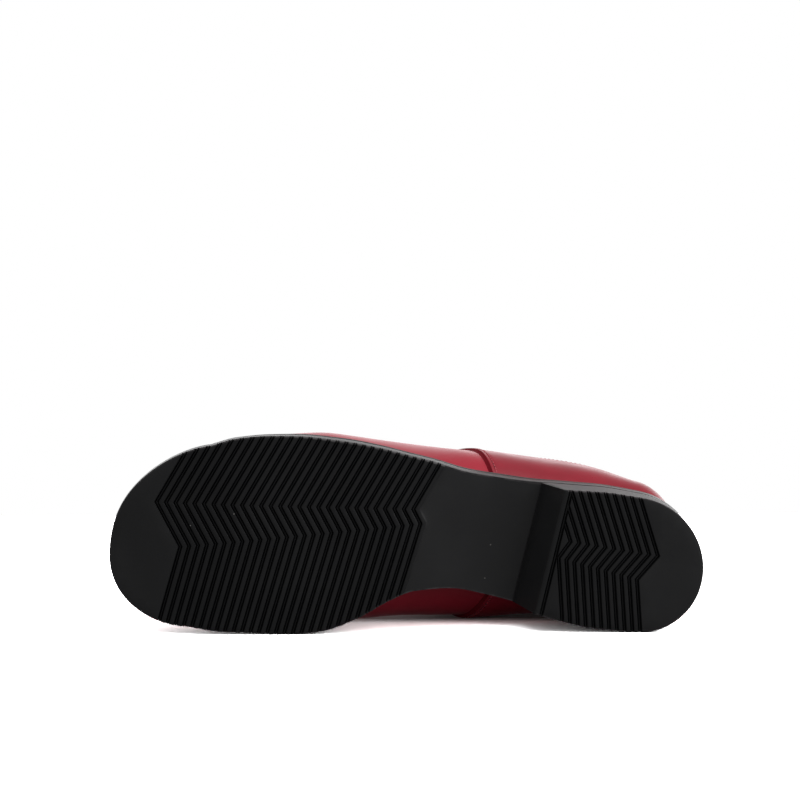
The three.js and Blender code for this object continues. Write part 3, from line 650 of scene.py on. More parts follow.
# Topline of the collar seen from the side, as x and z
TOPLINE = spline([(-12, 84), (8, 81), (32, 72), (56, 67.5), (76, 74), (92, 90), (102, 108), (110, 130)], 200)
THROAT = {"front": 131, "back": 60, "front_half": 7, "back_half": 12}
FACING_SEARCH = (85, 115)
NEAR_BACK = 0.002
NEAR_RIDGE = 0.02
ROUND_STEPS = 160
OPENING_STEP = 1.2


def over_topline(points):
    """Whether each point lies above the topline."""
    return points[:, 2] > np.interp(points[:, 0], TOPLINE[:, 0], TOPLINE[:, 1])


def throat_half(x):
    """Half width of the gap between the facings."""
    share = np.clip((THROAT["front"] - x) / (THROAT["front"] - THROAT["back"]), 0, 1)
    return mix(THROAT["front_half"], THROAT["back_half"], share)


def plan_place(x, aside, side):
    """Place in the flat pattern of a point given from above, aside of the ridge."""
    x, aside = np.broadcast_arrays(np.asarray(x, float), aside)
    turn = np.full(len(x), side * QUARTER_TURN)
    down = down_to(x, turn, lambda p: np.abs(p[:, 1] - ridge_drift(p[:, 0])) < aside)
    return flat_place(x, turn, down)


def facing_top(side):
    """x where the topline meets the edge of the facing."""
    x = np.linspace(*FACING_SEARCH, 601)
    points = on_last(plan_place(x, throat_half(x), side))
    return x[over_topline(points)].max()


FACING_TOP = {side: facing_top(side) for side in (1, -1)}


def facing_edge(side, front_x):
    """Edge of one facing in the flat pattern, from its front end back to the topline."""
    x = np.linspace(front_x, FACING_TOP[side], 60)
    return plan_place(x, throat_half(x), side)


def topline_edge(side):
    """Topline of one side in the flat pattern, from the facing round to the back of the heel."""
    x = np.linspace(FACING_TOP[side], HEEL_CENTRE, 90)
    turn = np.full(len(x), side * QUARTER_TURN)
    back_turn = side * np.linspace(QUARTER_TURN, NEAR_BACK, 60)
    back_x = np.full(len(back_turn), HEEL_CENTRE)
    return np.vstack([
        flat_place(x, turn, down_to(x, turn, over_topline)),
        flat_place(back_x, back_turn, down_to(back_x, back_turn, over_topline))[1:],
    ])


def throat_front(side):
    """One side of the round front end of the throat, from the middle line to the facing."""
    angle = np.linspace(0, QUARTER_TURN, 16)
    end_x = THROAT["front"] - THROAT["front_half"]
    x = end_x + THROAT["front_half"] * np.cos(angle)
    return plan_place(x, np.maximum(THROAT["front_half"] * np.sin(angle), NEAR_RIDGE), side)


def feather_edge(side, from_x, to_x):
    """Feather line of one side in the flat pattern, heel to toe."""
    x = np.linspace(from_x, to_x, 160)
    turn = np.full(len(x), side * QUARTER_TURN)
    return flat_place(x, turn, rib_length(x, turn))


def feather_round(centre_x):
    """Feather line round the toe or the heel in the flat pattern, medial to lateral."""
    turn = np.linspace(-QUARTER_TURN, QUARTER_TURN, ROUND_STEPS + 1)
    x = np.full(len(turn), centre_x)
    return flat_place(x, turn, rib_length(x, turn))


def level(height, flat):
    """Lift at places of the flat pattern, from one value or from a function of the place."""
    return height(flat) if callable(height) else np.full(len(flat), float(height))


def sheet_piece(name, outline, top, bottom, edge_radius, spacing, materials,
                holes=(), lines=(), relief=None, edge_slope=None, crease_angle=50):
    """Leather sheet cut to an outline of the flat pattern and laid over the last, with rounded cut edges.
    The second material is the cut edge's. relief raises or lowers the top of the sheet, and edge_slope
    gives how far the foot of its edge runs out."""
    flat, triangles = triangulate(
        outline, holes, lines, inner=grid_inside(np.asarray(outline), spacing, holes))
    surface = level(top, flat) + (relief(flat) if relief else 0)
    under = lifted(flat, level(bottom, flat))
    parts, sides = [lifted(flat, surface)], []
    count = len(flat)
    below_edges = []
    for ring in edge_rings(triangles):
        loop = flat[ring]
        out = outward(loop)
        previous = ring
        for angle in EDGE_TURNS:
            bulge = edge_radius * math.sin(angle)
            drop = edge_radius * (1 - math.cos(angle))
            parts.append(lifted(loop + out * bulge, surface[ring] - drop))
            current = count + np.arange(len(ring))
            count += len(ring)
            sides.extend(map(tuple, band(previous, current)[:, ::-1]))
            previous = current
        run = edge_radius + (edge_slope(loop) if edge_slope else np.zeros(len(loop)))
        under[ring] = lifted(loop + out * run[:, None], level(bottom, loop))
        below_edges.append((previous, ring))
    for previous, ring in below_edges:
        sides.extend(map(tuple, band(previous, count + ring)[:, ::-1]))
    parts.append(under)
    faces = [tuple(face) for face in triangles]
    below = [tuple(count + triangle[::-1]) for triangle in triangles]
    cut = np.repeat([0, len(materials) - 1, 0], [len(faces), len(sides), len(below)])
    return shoe_piece(name, np.vstack(parts), faces + sides + below, materials, crease_angle, cut)


def opening():
    """Loop of the collar and throat opening in the flat pattern."""
    front_x = THROAT["front"] - THROAT["front_half"]
    lateral, medial = (
        np.vstack([throat_front(side), facing_edge(side, front_x)[1:], topline_edge(side)[1:]])
        for side in (1, -1))
    return evenly(np.vstack([lateral, medial[::-1]]), OPENING_STEP, closed=True)


EYELET = {"pairs": 4, "front": 129.5, "pitch": 8.8, "from_edge": 6.2, "radius": 1.7, "sides": 18}


def full_turn(count):
    """Even angles of one whole turn."""
    return np.linspace(0, 2 * math.pi, count, endpoint=False)


def eyelet_x(pair):
    """Place of a pair of eyelets along the shoe, the front pair first."""
    return EYELET["front"] - pair * EYELET["pitch"]


def eyelet_loop(pair, side):
    """Punched hole of one eyelet in the flat pattern, clockwise."""
    x = np.array([eyelet_x(pair)])
    middle = plan_place(x, throat_half(x) + EYELET["from_edge"], side)[0]
    angle = full_turn(EYELET["sides"])
    return middle + EYELET["radius"] * np.stack([np.cos(angle), -np.sin(angle)], axis=-1)


LINING = {"top": -1.0, "edge_radius": 0.25, "edge_step": 2.0, "spacing": 3.0}
whole_feather = evenly(np.vstack([
    feather_edge(-1, HEEL_CENTRE, TOE_CENTRE)[:-1],
    feather_round(TOE_CENTRE)[:-1],
    feather_edge(1, HEEL_CENTRE, TOE_CENTRE)[::-1][:-1],
    feather_round(HEEL_CENTRE)[::-1][:-1],
]), LINING["edge_step"], closed=True)
EYELET_HOLES = {side: [eyelet_loop(pair, side) for pair in range(EYELET["pairs"])] for side in (1, -1)}
lining = sheet_piece(
    "upper_lining", whole_feather, LINING["top"], -WALL, LINING["edge_radius"], LINING["spacing"],
    [lining_leather], holes=[opening(), *EYELET_HOLES[1], *EYELET_HOLES[-1]])
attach(lining, "root")


# Vamp
# One piece of smooth red calf over the toe and instep, polished to a soft gloss. Its back edge is skived
# and runs under the quarters, and its throat edge is cut round the front of the tongue.

QUARTER_STEP = 1.3
# Front edge of each quarter seen from the side, as z and x on the lateral and on the medial side
QUARTER_FRONT = [
    (8, 94, 87), (20, 98.8, 92), (30, 102.5, 98.5), (39, 105, 105), (46, 107.3, 110),
    (54, 111.5, 116.5), (62, 119, 124), (72, 131, 134), (79, 137.5, 138), (95, 139, 139),
]
UNDERLAP = 13
VAMP = {"top": 0.0, "bottom": -0.95, "edge_radius": 0.3, "edge_step": 1.3, "spacing": 1.7}
red_leather = leather(
    "polished red leather", (0.46, 0.020, 0.042), (0.39, 0.016, 0.033), grain_scale=1100, roughness=0.33,
    unevenness=0.14, bump=0.12, coat=0.1, coat_roughness=0.22, specular=0.32, sheen=0.3)
# The cut edges of vamp and quarters are coloured a darker red as painted shade.
shaded_cut_edge = leather(
    "cut edge with painted shade", (0.25, 0.011, 0.022), (0.19, 0.008, 0.016), grain_scale=1500, roughness=0.8,
    unevenness=0.1, bump=0.5, specular=0.1)


def quarter_front(side):
    """Front edge of one quarter in the flat pattern, from the feather line up to its facing."""
    rows = spline([(row[1 if side > 0 else 2], row[0]) for row in QUARTER_FRONT], 120)
    low = feather_height(rows[0, 0])
    rows = rows[rows[:, 1] > low]
    turn = np.full(len(rows), side * QUARTER_TURN)
    down = down_to(rows[:, 0], turn, lambda p: p[:, 2] > rows[:, 1])
    places = flat_place(rows[:, 0], turn, down)
    facing = plan_place(rows[:, 0], np.full(len(rows), THROAT["front_half"]), side)
    return places[np.abs(places[:, 1]) > np.abs(facing[:, 1])]


def shifted(line, distance):
    """Line moved back along the shoe."""
    return line - np.array([distance, 0])


def foot_of(line, side):
    """First point of an edge, moved down to the feather line."""
    x = line[:1, 0]
    turn = np.full(1, side * QUARTER_TURN)
    return flat_place(x, turn, rib_length(x, turn))


lateral_back = shifted(quarter_front(1), UNDERLAP)
medial_back = shifted(quarter_front(-1), UNDERLAP)
vamp_outline = evenly(np.vstack([
    feather_edge(-1, foot_of(medial_back, -1)[0, 0], TOE_CENTRE)[:-1],
    feather_round(TOE_CENTRE)[:-1],
    feather_edge(1, foot_of(lateral_back, 1)[0, 0], TOE_CENTRE)[::-1],
    lateral_back[1:-2],
    throat_front(1)[::-1][1:],
    throat_front(-1)[1:-1],
    medial_back[1:-2][::-1],
]), VAMP["edge_step"], closed=True)
# Flex creases where the toes bend: ends at the inner and outer side, bow towards the toe, depth and width
CREASES = [
    {"inner": (168, -47), "outer": (158, 38), "bow": 5.0, "depth": 0.30, "width": 2.6},
    {"inner": (178, -40), "outer": (170, 33), "bow": 4.0, "depth": 0.22, "width": 2.2},
    {"inner": (157, -36), "outer": (149, 46), "bow": 6.0, "depth": 0.18, "width": 2.4},
]
RIDGE_SHARE = 0.9
DENT = {"place": (116.5, 62.0), "reach": (7.0, 3.2), "depth": 0.22}


def flex_creases(flat):
    """Soft troughs with low ridges beside them, fading towards their ends, and one shallow dent."""
    rise = np.zeros(len(flat))
    for crease in CREASES:
        t = np.linspace(0, 1, 60)[:, None]
        line = mix(np.array(crease["inner"], float), np.array(crease["outer"], float), t)
        line[:, 0] += crease["bow"] * 4 * (t * (1 - t))[:, 0]
        gap = distance_to(flat, line) / crease["width"]
        share = (flat[:, 1] - crease["inner"][1]) / (crease["outer"][1] - crease["inner"][1])
        fade = np.clip(4 * share * (1 - share), 0, 1)
        rise += crease["depth"] * fade * (RIDGE_SHARE * gap ** 2 - 1) * np.exp(-gap ** 2)
    gap = (flat - np.array(DENT["place"])) / np.array(DENT["reach"])
    return rise - DENT["depth"] * np.exp(-(gap ** 2).sum(axis=1))


vamp = sheet_piece(
    "vamp", vamp_outline, VAMP["top"], VAMP["bottom"], VAMP["edge_radius"], VAMP["spacing"],
    [red_leather, shaded_cut_edge], holes=[EYELET_HOLES[1][0], EYELET_HOLES[-1][0]], relief=flex_creases)
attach(vamp, "root")
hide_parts("upper")


# Quarters
# Two sides of the same red calf, closed at the back of the heel and laid over the vamp, open at the front
# so that the lace draws them together. Their edges are cut raw, and painted shade darkens their colour.

QUARTER = {"bottom": 0.08, "edge_step": 1.1, "spacing": 1.7}
CORNER_RADIUS = 5.0
BACK_SEAM = 0.25
# The front edge is skived to a slope, which runs out to the line of the seam and fades below the facing
SKIVE = 0.9
SKIVE_FADE = {"from": 0.8, "to": 4.0, "step": 0.5, "steps_below_facing": 12}
EDGE_RADIUS = 0.35
# The quarters take a darker copy of the vamp's red calf: the lower tone is painted shade.
shaded_quarter_leather = leather(
    "red quarter leather with painted shade", (0.37, 0.016, 0.034), (0.30, 0.012, 0.026), grain_scale=1100, roughness=0.33,
    unevenness=0.3, bump=0.12, coat=0.1, coat_roughness=0.22, specular=0.3, sheen=0.3, shade_scale=75)


def rounded_joint(first, second, radius):
    """Two lines that share an end, joined by a round corner."""
    lengths = [np.linalg.norm(np.diff(line, axis=0), axis=1) for line in (first[::-1], second)]
    cut = [int(np.searchsorted(np.cumsum(length), radius)) + 1 for length in lengths]
    begin, end = first[-1 - cut[0]], second[cut[1]]
    corner = second[0]
    t = np.linspace(0, 1, 10)[:, None]
    arc = bezier([begin, corner, end], t)
    return np.vstack([first[:-1 - cut[0]], arc, second[cut[1] + 1:]])


def skived_front(side):
    """Top line of the front edge of one quarter, behind its skived slope."""
    return shifted(quarter_front(side), SKIVE + EDGE_RADIUS)


def quarter_outline(side):
    """Edge of one quarter in the flat pattern."""
    front = skived_front(side)
    facing = facing_edge(side, front[-1, 0])
    front = np.vstack([foot_of(front, side), front[1:-1], facing[:1]])
    edge = rounded_joint(front, facing, CORNER_RADIUS)
    topline = topline_edge(side)
    feather = np.vstack([
        feather_round(HEEL_CENTRE)[::side][ROUND_STEPS // 2:],
        feather_edge(side, HEEL_CENTRE, front[0, 0])[1:-1],
    ])
    loop = np.vstack([feather, edge, topline[1:]])
    loop[:, 1] = side * np.maximum(side * loop[:, 1], BACK_SEAM)
    return evenly(loop[::side], QUARTER["edge_step"], closed=True)


def front_skive(side):
    """How far the cut edge of one quarter slopes out, along its front alone."""
    front = evenly(skived_front(side), SKIVE_FADE["step"])[:-SKIVE_FADE["steps_below_facing"]]
    return lambda flat: SKIVE * (1 - ease(distance_to(flat, front), SKIVE_FADE["from"], SKIVE_FADE["to"]))


def aside_of(line, distance):
    """Line of the flat pattern moved square to itself, to its left for a positive distance."""
    along = unit(np.gradient(line, axis=0))
    return line + distance * np.stack([-along[:, 1], along[:, 0]], axis=-1)


# The stitches draw the leather down in a trough along the front edge, this far behind it
FRONT_ROW = 1.5
ROW_STEP = 2.0
TROUGH = {"depth": 0.22, "width": 0.6, "step": 0.4, "lines": (-1.2, -0.6, 0.0, 0.6, 1.2)}


def front_row(side, distance):
    """Line behind the front edge of one quarter in the flat pattern, from the feather line up."""
    return aside_of(evenly(skived_front(side), ROW_STEP), -side * distance)[1:-3]


def stitch_trough(side):
    """How far the row of stitches draws the leather down, as a function of the place."""
    row = evenly(front_row(side, FRONT_ROW), TROUGH["step"])
    return lambda flat: -TROUGH["depth"] * np.exp(-(distance_to(flat, row) / TROUGH["width"]) ** 2)


for side, label in ((1, "lateral"), (-1, "medial")):
    quarter = sheet_piece(
        f"quarter_{label}", quarter_outline(side), QUARTER_STEP, QUARTER["bottom"], EDGE_RADIUS,
        QUARTER["spacing"], [shaded_quarter_leather, shaded_cut_edge], holes=EYELET_HOLES[side],
        lines=[front_row(side, FRONT_ROW + away)[1:] for away in TROUGH["lines"]],
        relief=stitch_trough(side), edge_slope=front_skive(side))
    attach(quarter, "root")


# Stitching
# Single rows of waxed red thread in a lock stitch: behind the front edge of each quarter, along the
# facings and under the topline. Each stitch is a short arch, and a flat dark disc of painted shade marks the
# needle hole between two of them.

STITCH = {
    "length": 1.45, "pitch": 2.2, "radius": 0.34, "sides": 6,
    "hole": 0.68, "hole_sides": 8, "hole_lift": 0.06,
}
# Arch of one stitch: how far along it each point lies, and how high, as shares of its length and its rise
STITCH_REACH = np.array([-0.5, -0.36, -0.12, 0.12, 0.36, 0.5])
STITCH_RISE = 0.16 * np.array([-2.5, 0.2, 1.0, 1.0, 0.2, -2.5])
ROW_INSET = {"facing": 2.0, "topline": 3.4}
ROW_SINK = {"front": TROUGH["depth"], "other": 0.15}
stitch_thread = leather(
    "waxed red thread", (0.52, 0.055, 0.080), (0.44, 0.040, 0.060),
    grain_scale=2500, roughness=0.45, unevenness=0.1, bump=0.4)
needle_hole_shade = leather(
    "painted shade of the needle holes", (0.045, 0.003, 0.006), (0.035, 0.002, 0.004),
    grain_scale=2500, roughness=0.7, unevenness=0.1, bump=0.2)


def tube(path, radius, sides):
    """Points and faces of a round tube with closed ends along a path of points."""
    path = np.asarray(path, float)
    along = unit(np.gradient(path, axis=0))
    aside = np.cross(along[0], np.eye(3)[np.argmin(np.abs(along[0]))])
    angle = full_turn(sides)
    rings = []
    for place, ahead in zip(path, along):
        aside = aside - ahead * (aside @ ahead)
        aside /= np.linalg.norm(aside)
        up = np.cross(ahead, aside)
        rings.append(place + radius * (np.cos(angle)[:, None] * aside + np.sin(angle)[:, None] * up))
    number = np.arange(len(path) * sides).reshape(len(path), sides)
    faces = [tuple(face) for a, b in zip(number, number[1:]) for face in band(a, b)]
    faces += [tuple(number[0][::-1]), tuple(number[-1])]
    return np.vstack(rings), faces


def gathered(parts):
    """Points, faces and material numbers of many small parts as one mesh."""
    points, faces, numbers, first = [], [], [], 0
    for (part_points, part_faces), material in parts:
        points.append(part_points)
        faces.extend(tuple(first + k for k in face) for face in part_faces)
        numbers.extend([material] * len(part_faces))
        first += len(part_points)
    return np.vstack(points), faces, numbers


def stitch_row(line, lift):
    """Stitches along a line of the flat pattern, and discs of painted shade for the holes between them."""
    stops = evenly(line, STITCH["pitch"])
    along = unit(np.gradient(stops, axis=0))
    angle = full_turn(STITCH["hole_sides"])
    rim = STITCH["hole"] * np.stack([np.cos(angle), np.sin(angle)], axis=-1)
    for place, ahead in zip(stops, along):
        path = lifted(place + STITCH["length"] * STITCH_REACH[:, None] * ahead, lift + STITCH_RISE)
        yield tube(path, STITCH["radius"], STITCH["sides"]), 0
        # The disc over the hole is painted shade.
        hole = place + STITCH["pitch"] / 2 * ahead + rim
        yield (lifted(hole, level(lift + STITCH["hole_lift"], hole)), [tuple(range(len(rim)))]), 1


stitches = []
for side in (1, -1):
    facing = evenly(facing_edge(side, THROAT["front"]), ROW_STEP)
    facing = aside_of(facing, -side * ROW_INSET["facing"])[1:-2]
    collar = aside_of(evenly(topline_edge(side), ROW_STEP), -side * ROW_INSET["topline"])[2:-1]
    stitches.extend(stitch_row(front_row(side, FRONT_ROW), QUARTER_STEP - ROW_SINK["front"]))
    stitches.extend(stitch_row(facing, QUARTER_STEP - ROW_SINK["other"]))
    stitches.extend(stitch_row(collar, QUARTER_STEP - ROW_SINK["other"]))
stitch_points, stitch_faces, stitch_numbers = gathered(stitches)
stitching = shoe_piece("stitching", stitch_points, stitch_faces, [stitch_thread, needle_hole_shade],
                       face_materials=stitch_numbers)
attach(stitching, "root")


# Collar binding
# A narrow strip of the red leather folded over the raw topline and sewn through, from one facing round the
# back of the heel to the other. It covers the edges of quarters and lining.

BINDING = {
    "half_thickness": 1.95, "half_height": 1.5, "lift": -0.25, "taper": 5, "end": 0.55,
    "step": 1.6, "sides": 14,
}
collar_line = evenly(np.vstack([topline_edge(1), topline_edge(-1)[::-1]]), BINDING["step"])
collar_normals = normals_at(collar_line)
collar_points = lifted(collar_line, level(BINDING["lift"], collar_line))
collar_along = np.gradient(collar_points, axis=0)
collar_up = unit(np.cross(collar_normals, collar_along))
from_end = np.minimum(np.arange(len(collar_line)), np.arange(len(collar_line))[::-1])
fullness = mix(BINDING["end"], 1, ease(from_end, 0, BINDING["taper"]))
round_turn = full_turn(BINDING["sides"])
binding_rings = [
    place + full * (BINDING["half_thickness"] * np.cos(round_turn)[:, None] * normal
                    + BINDING["half_height"] * np.sin(round_turn)[:, None] * up)
    for place, normal, up, full in zip(collar_points, collar_normals, collar_up, fullness)]
ring_numbers = np.arange(len(collar_line) * len(round_turn)).reshape(len(collar_line), -1)
binding_faces = [tuple(face) for a, b in zip(ring_numbers, ring_numbers[1:]) for face in band(a, b)[:, ::-1]]
binding_faces += [tuple(ring_numbers[0]), tuple(ring_numbers[-1][::-1])]
binding = shoe_piece("collar_binding", np.vstack(binding_rings), binding_faces, [red_leather])
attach(binding, "root")


# Tongue
# A soft sheet of the red leather with a leather lining, sewn under the throat edge of the vamp. It lies
# under the facings, with room for the lace between, and its tip stands a little above them.

TONGUE = {"drop": 2.1, "room": 2.7, "bend": 133, "front": 146, "thickness": 2.0}
TONGUE_SHEET = {"edge_radius": 0.8, "edge_step": 1.6, "spacing": 2.2}
# Places of the side edge along the shoe, front to tip, with the half width at each
TONGUE_SIDE = np.array([(146, 15), (136, 22), (100, 24), (93, 19)])


def tongue_side(side):
    """Side edge of the tongue in the flat pattern, front to tip."""
    line = spline(TONGUE_SIDE, 60)
    return plan_place(line[:, 0], line[:, 1], side)


def tongue_top(flat):
    """Lift of the tongue: under the lace, and closer to the vamp where it is sewn to it."""
    return -TONGUE["drop"] - TONGUE["room"] * (1 - ease(flat[:, 0], TONGUE["bend"], TONGUE["front"]))


def tongue_under(flat):
    """Lift of the lined underside of the tongue."""
    return tongue_top(flat) - TONGUE["thickness"]


tongue_edge = np.vstack([tongue_side(-1)[::-1], tongue_side(1)])
tongue_outline = evenly(tongue_edge, TONGUE_SHEET["edge_step"], closed=True)
tongue = sheet_piece(
    "tongue_sheet", tongue_outline, tongue_top, tongue_under, TONGUE_SHEET["edge_radius"],
    TONGUE_SHEET["spacing"], [red_leather, red_leather])
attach(tongue, "root")
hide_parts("tongue")


# Lace
# One round waxed cotton lace in dark red, laid in straight bars over the facings. It turns down through
# the punched eyelets and runs along under the facings, and its ends stop under the top eyelets.

LACE_RADIUS = 1.2
LACE_ROOM = {"over": 0.3, "under": 0.25}
LACE_LIFT = QUARTER_STEP + LACE_ROOM["over"] + LACE_RADIUS
LACE_UNDER = -WALL - LACE_ROOM["under"] - LACE_RADIUS
LACE_SIDESTEP = 1.5
LACE_TUBE = {"step": 0.7, "sides": 12}
# Turn up through an eyelet, as steps inward with their lifts over the last
THROUGH_EYELET = [(0.0, -0.9), (0.0, 0.9), (0.7, 2.3)]
BAR = {"inset": 2.2, "points": 7, "off_ridge": 1e-3}
# Shares of the way between two eyelets where a run under a facing has its points
RUN_SHARES = (0.12, 0.3, 0.5, 0.7, 0.88)
TOP_PAIR = EYELET["pairs"] - 1
LACE_END = 3.4
lace_cotton = leather(
    "waxed lace cotton", (0.13, 0.010, 0.016), (0.09, 0.006, 0.010),
    grain_scale=900, roughness=0.55, unevenness=0.1, bump=0.6)


def lace_place(pair, side, inward, lift):
    """Point of the lace beside one eyelet: inward of it towards the throat, at a lift over the last."""
    x = np.array([eyelet_x(pair)])
    flat = plan_place(x, throat_half(x) + EYELET["from_edge"] - inward, side)
    return lifted(flat, lift)[0]


def bar_over(pair, side):
    """Points of a bar from an eyelet of one side over the throat to the other, up and down through both."""
    up = [lace_place(pair, side, *step) for step in THROUGH_EYELET]
    down = [lace_place(pair, -side, *step) for step in reversed(THROUGH_EYELET)]
    x = np.array([eyelet_x(pair)])
    reach = float(throat_half(x)[0]) + EYELET["from_edge"] - BAR["inset"]
    aside = side * np.linspace(reach, -reach, BAR["points"])
    flat = np.vstack([
        plan_place(x, np.array([abs(y) + BAR["off_ridge"]]), 1 if y > 0 else -1) for y in aside])
    return [*up, *lifted(flat, level(LACE_LIFT, flat)), *down]


def run_under(first, last, side, inward):
    """Points of a run under one facing, between two eyelets of it."""
    return [lace_place(mix(first, last, share), side, inward, LACE_UNDER) for share in RUN_SHARES]


def smooth_path(points, spacing):
    """Even smooth path through points in space."""
    return evenly(spline(np.array(points), 16 * len(points)), spacing)


lace_run = [
    *[lace_place(mix(TOP_PAIR, LACE_END, share), 1, 0.0, LACE_UNDER) for share in (1, 0.5)],
    *bar_over(3, 1), *run_under(3, 1, -1, LACE_SIDESTEP),
    *bar_over(1, -1), *run_under(1, 0, 1, 0.0),
    *bar_over(0, 1), *run_under(0, 2, -1, -LACE_SIDESTEP),
    *bar_over(2, -1), *run_under(2, 3, 1, -LACE_SIDESTEP)[:3],
]
lace_tube = tube(smooth_path(lace_run, LACE_TUBE["step"]), LACE_RADIUS, LACE_TUBE["sides"])
lace = shoe_piece("lace", *lace_tube, [lace_cotton])
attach(lace, "root")
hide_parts(*[f"lace_bar_{pair + 1}" for pair in range(EYELET["pairs"])])


# Outsole
# A unit of black moulded rubber from the toe to the heel seat. Zigzag grooves are cut across its forefoot
# and run out at both edges, and its side has a thin lip over a fine groove.

# Rings of the side, as inset and height, from the foot over the fine groove to the lip
SIDE_STEPS = [
    (0.25, 0.10), (0.06, 0.35), (0.0, 0.7), (0.0, 1.2), (0.0, 1.7), (0.0, 4.9), (0.1, 5.2), (0.45, 5.35),
    (0.8, 5.5), (0.8, 6.1), (0.5, 6.2), (0.15, 6.35), (0.1, 6.6), (0.12, 7.2), (0.35, 7.5), (0.9, 7.6),
]
TREAD_INSET = 0.6
# Half width of a groove at each depth, from the flat of the rib to its floor and the low ridge in its middle
GROOVE_PROFILE = [
    (1.15, 0.0), (1.0, 0.03), (0.9, 0.14), (0.82, 0.4), (0.7, 1.45), (0.58, 1.6), (0.42, 1.5), (0.3, 1.0),
    (0.18, 0.9),
]
GROOVE_BEGIN = 0.2
GROOVE_STEP = 3.0
# The walls follow the grooves up to this height, and the seat of the upper lies this far inside the edge
GROOVE_TOP = 1.7
SEAT_INSET = 3.0
# The ribs end this far past the last groove
TREAD_END = 2.2
# Ends of the zigzags, past both edges of the sole
ACROSS = {"medial": -0.7 * BALL_WIDTH, "lateral": 0.5 * BALL_WIDTH}
OUTSOLE_STEP = {"edge": 1.4, "plain": 4.0, "clear": 4.2, "top": 5.0}
SOLE_CREASE = 35
TREAD_COLUMNS = ("peak_x", "peak_y", "valley_x", "valley_y", "medial_slope")
FOREFOOT_TREAD = {
    "count": 28, "lateral_slope": -0.425, "facing": 1,
    "first": (132.9, 11.8, 128.8, 5.7, -0.17), "last": (246.5, -0.2, 233.4, -18.4, -0.15),
}
# The rib nearest the waist drops by a soft step to the plain panel, this far behind its groove
WAIST_STEP = {"depth": 0.4, "offsets": (2.4, 2.65, 2.95, 3.2)}
# The side leans out on the outer edge, by this much more at its top than at its foot
SIDE_LEAN = {"forefoot": 1.0, "heel_foot": 0.85, "heel": 0.45}
LEAN_ENDS = {"heel": (14, 78), "toe": (165, 215), "breast": (0.25 * SOLE_LENGTH, 0.36 * SOLE_LENGTH)}


def lean_fade(x):
    """The lean fades out towards the toe and towards the back of the heel."""
    return ease(x, *LEAN_ENDS["heel"]) * (1 - ease(x, *LEAN_ENDS["toe"]))


def side_lean(x, share, outer):
    """How far the side leans out at a share of its height, on the outer edge only."""
    at_heel = 1 - ease(x, *LEAN_ENDS["breast"])
    lean = SIDE_LEAN["heel_foot"] * at_heel + share * mix(SIDE_LEAN["forefoot"], SIDE_LEAN["heel"], at_heel)
    return lean * np.clip(outer, 0, 1) * lean_fade(x)


# The buffing wheel runs along the edge: streaks are long in the floor's plane and fine up the edge
STREAK_SCALE = (22, 1100, 22)
DUST_COLOUR = (0.22, 0.21, 0.2, 1)
RUBBER_GLOSS = {"Specular IOR Level": 0.3}
RUBBER_BUMP = 0.15


def rubber_group():
    """Bloom and fine mould texture of black rubber with a few specks of dust."""
    tree, given, result = new_group("moulded rubber", [
        ("Colour", "NodeSocketColor", (0.01, 0.01, 0.01, 1)),
        ("Bloom Colour", "NodeSocketColor", (0.02, 0.02, 0.02, 1)),
        ("Roughness", "NodeSocketFloat", 0.5),
        ("Speck Size", "NodeSocketFloat", 0.02),
        ("Streaks", "NodeSocketFloat", 0.0),
    ], [("Colour", "NodeSocketColor"), ("Roughness", "NodeSocketFloat"), ("Height", "NodeSocketFloat")])
    place = add_node(tree, "ShaderNodeTexCoord").outputs["Object"]
    broad = add_node(tree, "ShaderNodeTexNoise", {"Vector": place, "Scale": 30.0, "Detail": 5.0})
    fine = add_node(tree, "ShaderNodeTexNoise", {"Vector": place, "Scale": 2600.0, "Detail": 2.0})
    cells = add_node(tree, "ShaderNodeTexVoronoi", {"Vector": place, "Scale": 75.0, "Randomness": 1.0})
    speck = worked_out(tree, "LESS_THAN", cells.outputs["Distance"], given.outputs["Speck Size"])
    drawn = add_node(tree, "ShaderNodeMapping", {"Vector": place, "Scale": STREAK_SCALE})
    streak = add_node(tree, "ShaderNodeTexNoise", {"Vector": drawn.outputs[0], "Scale": 1.0, "Detail": 3.0})
    streaked = add_node(tree, "ShaderNodeMix", {
        0: given.outputs["Streaks"], 2: broad.outputs["Fac"], 3: streak.outputs["Fac"]}, data_type="FLOAT")
    bloom = ranged(tree, streaked.outputs[0], 0.35, 0.7)
    base = mixed_colour(tree, bloom, given.outputs["Colour"], given.outputs["Bloom Colour"])
    dusty = mixed_colour(tree, speck, base, DUST_COLOUR)
    rough = worked_out(tree, "MULTIPLY_ADD", bloom, 0.12, given.outputs["Roughness"])
    tree.links.new(dusty, result.inputs["Colour"])
    tree.links.new(rough, result.inputs["Roughness"])
    tree.links.new(fine.outputs["Fac"], result.inputs["Height"])
    return tree


MOULDED_RUBBER = rubber_group()


def rubber(name, colour, bloom_colour, roughness, speck_size=0.02, streaks=0.0):
    """Black rubber: a moulded face with a bloom, or a buffed edge with streaks."""
    face = {
        "Colour": (*colour, 1), "Bloom Colour": (*bloom_colour, 1), "Roughness": roughness,
        "Speck Size": speck_size, "Streaks": streaks,
    }
    return finished(name, MOULDED_RUBBER, face, RUBBER_GLOSS, RUBBER_BUMP)


sole_rubber = rubber("black sole rubber", (0.020, 0.020, 0.021), (0.025, 0.025, 0.026), 0.36)
buffed_rubber = rubber("buffed sole edge", (0.024, 0.023, 0.024), (0.075, 0.070, 0.072), 0.33, streaks=1.0)
# The grooves take a darker rubber without dust specks; the dark tone is painted shade in the recesses.
groove_shade_rubber = rubber(
    "dust-free rubber with painted shade in the grooves", (0.005, 0.005, 0.006), (0.007, 0.007, 0.008), 0.5, speck_size=0.0)
rib_rubber = rubber("ribs of the tread", (0.0125, 0.0125, 0.0135), (0.016, 0.016, 0.017), 0.38)
SOLE_RUBBERS = [sole_rubber, buffed_rubber, groove_shade_rubber, rib_rubber]
# Places in that list
PLAIN, SIDE, GROOVE, RIB = range(len(SOLE_RUBBERS))


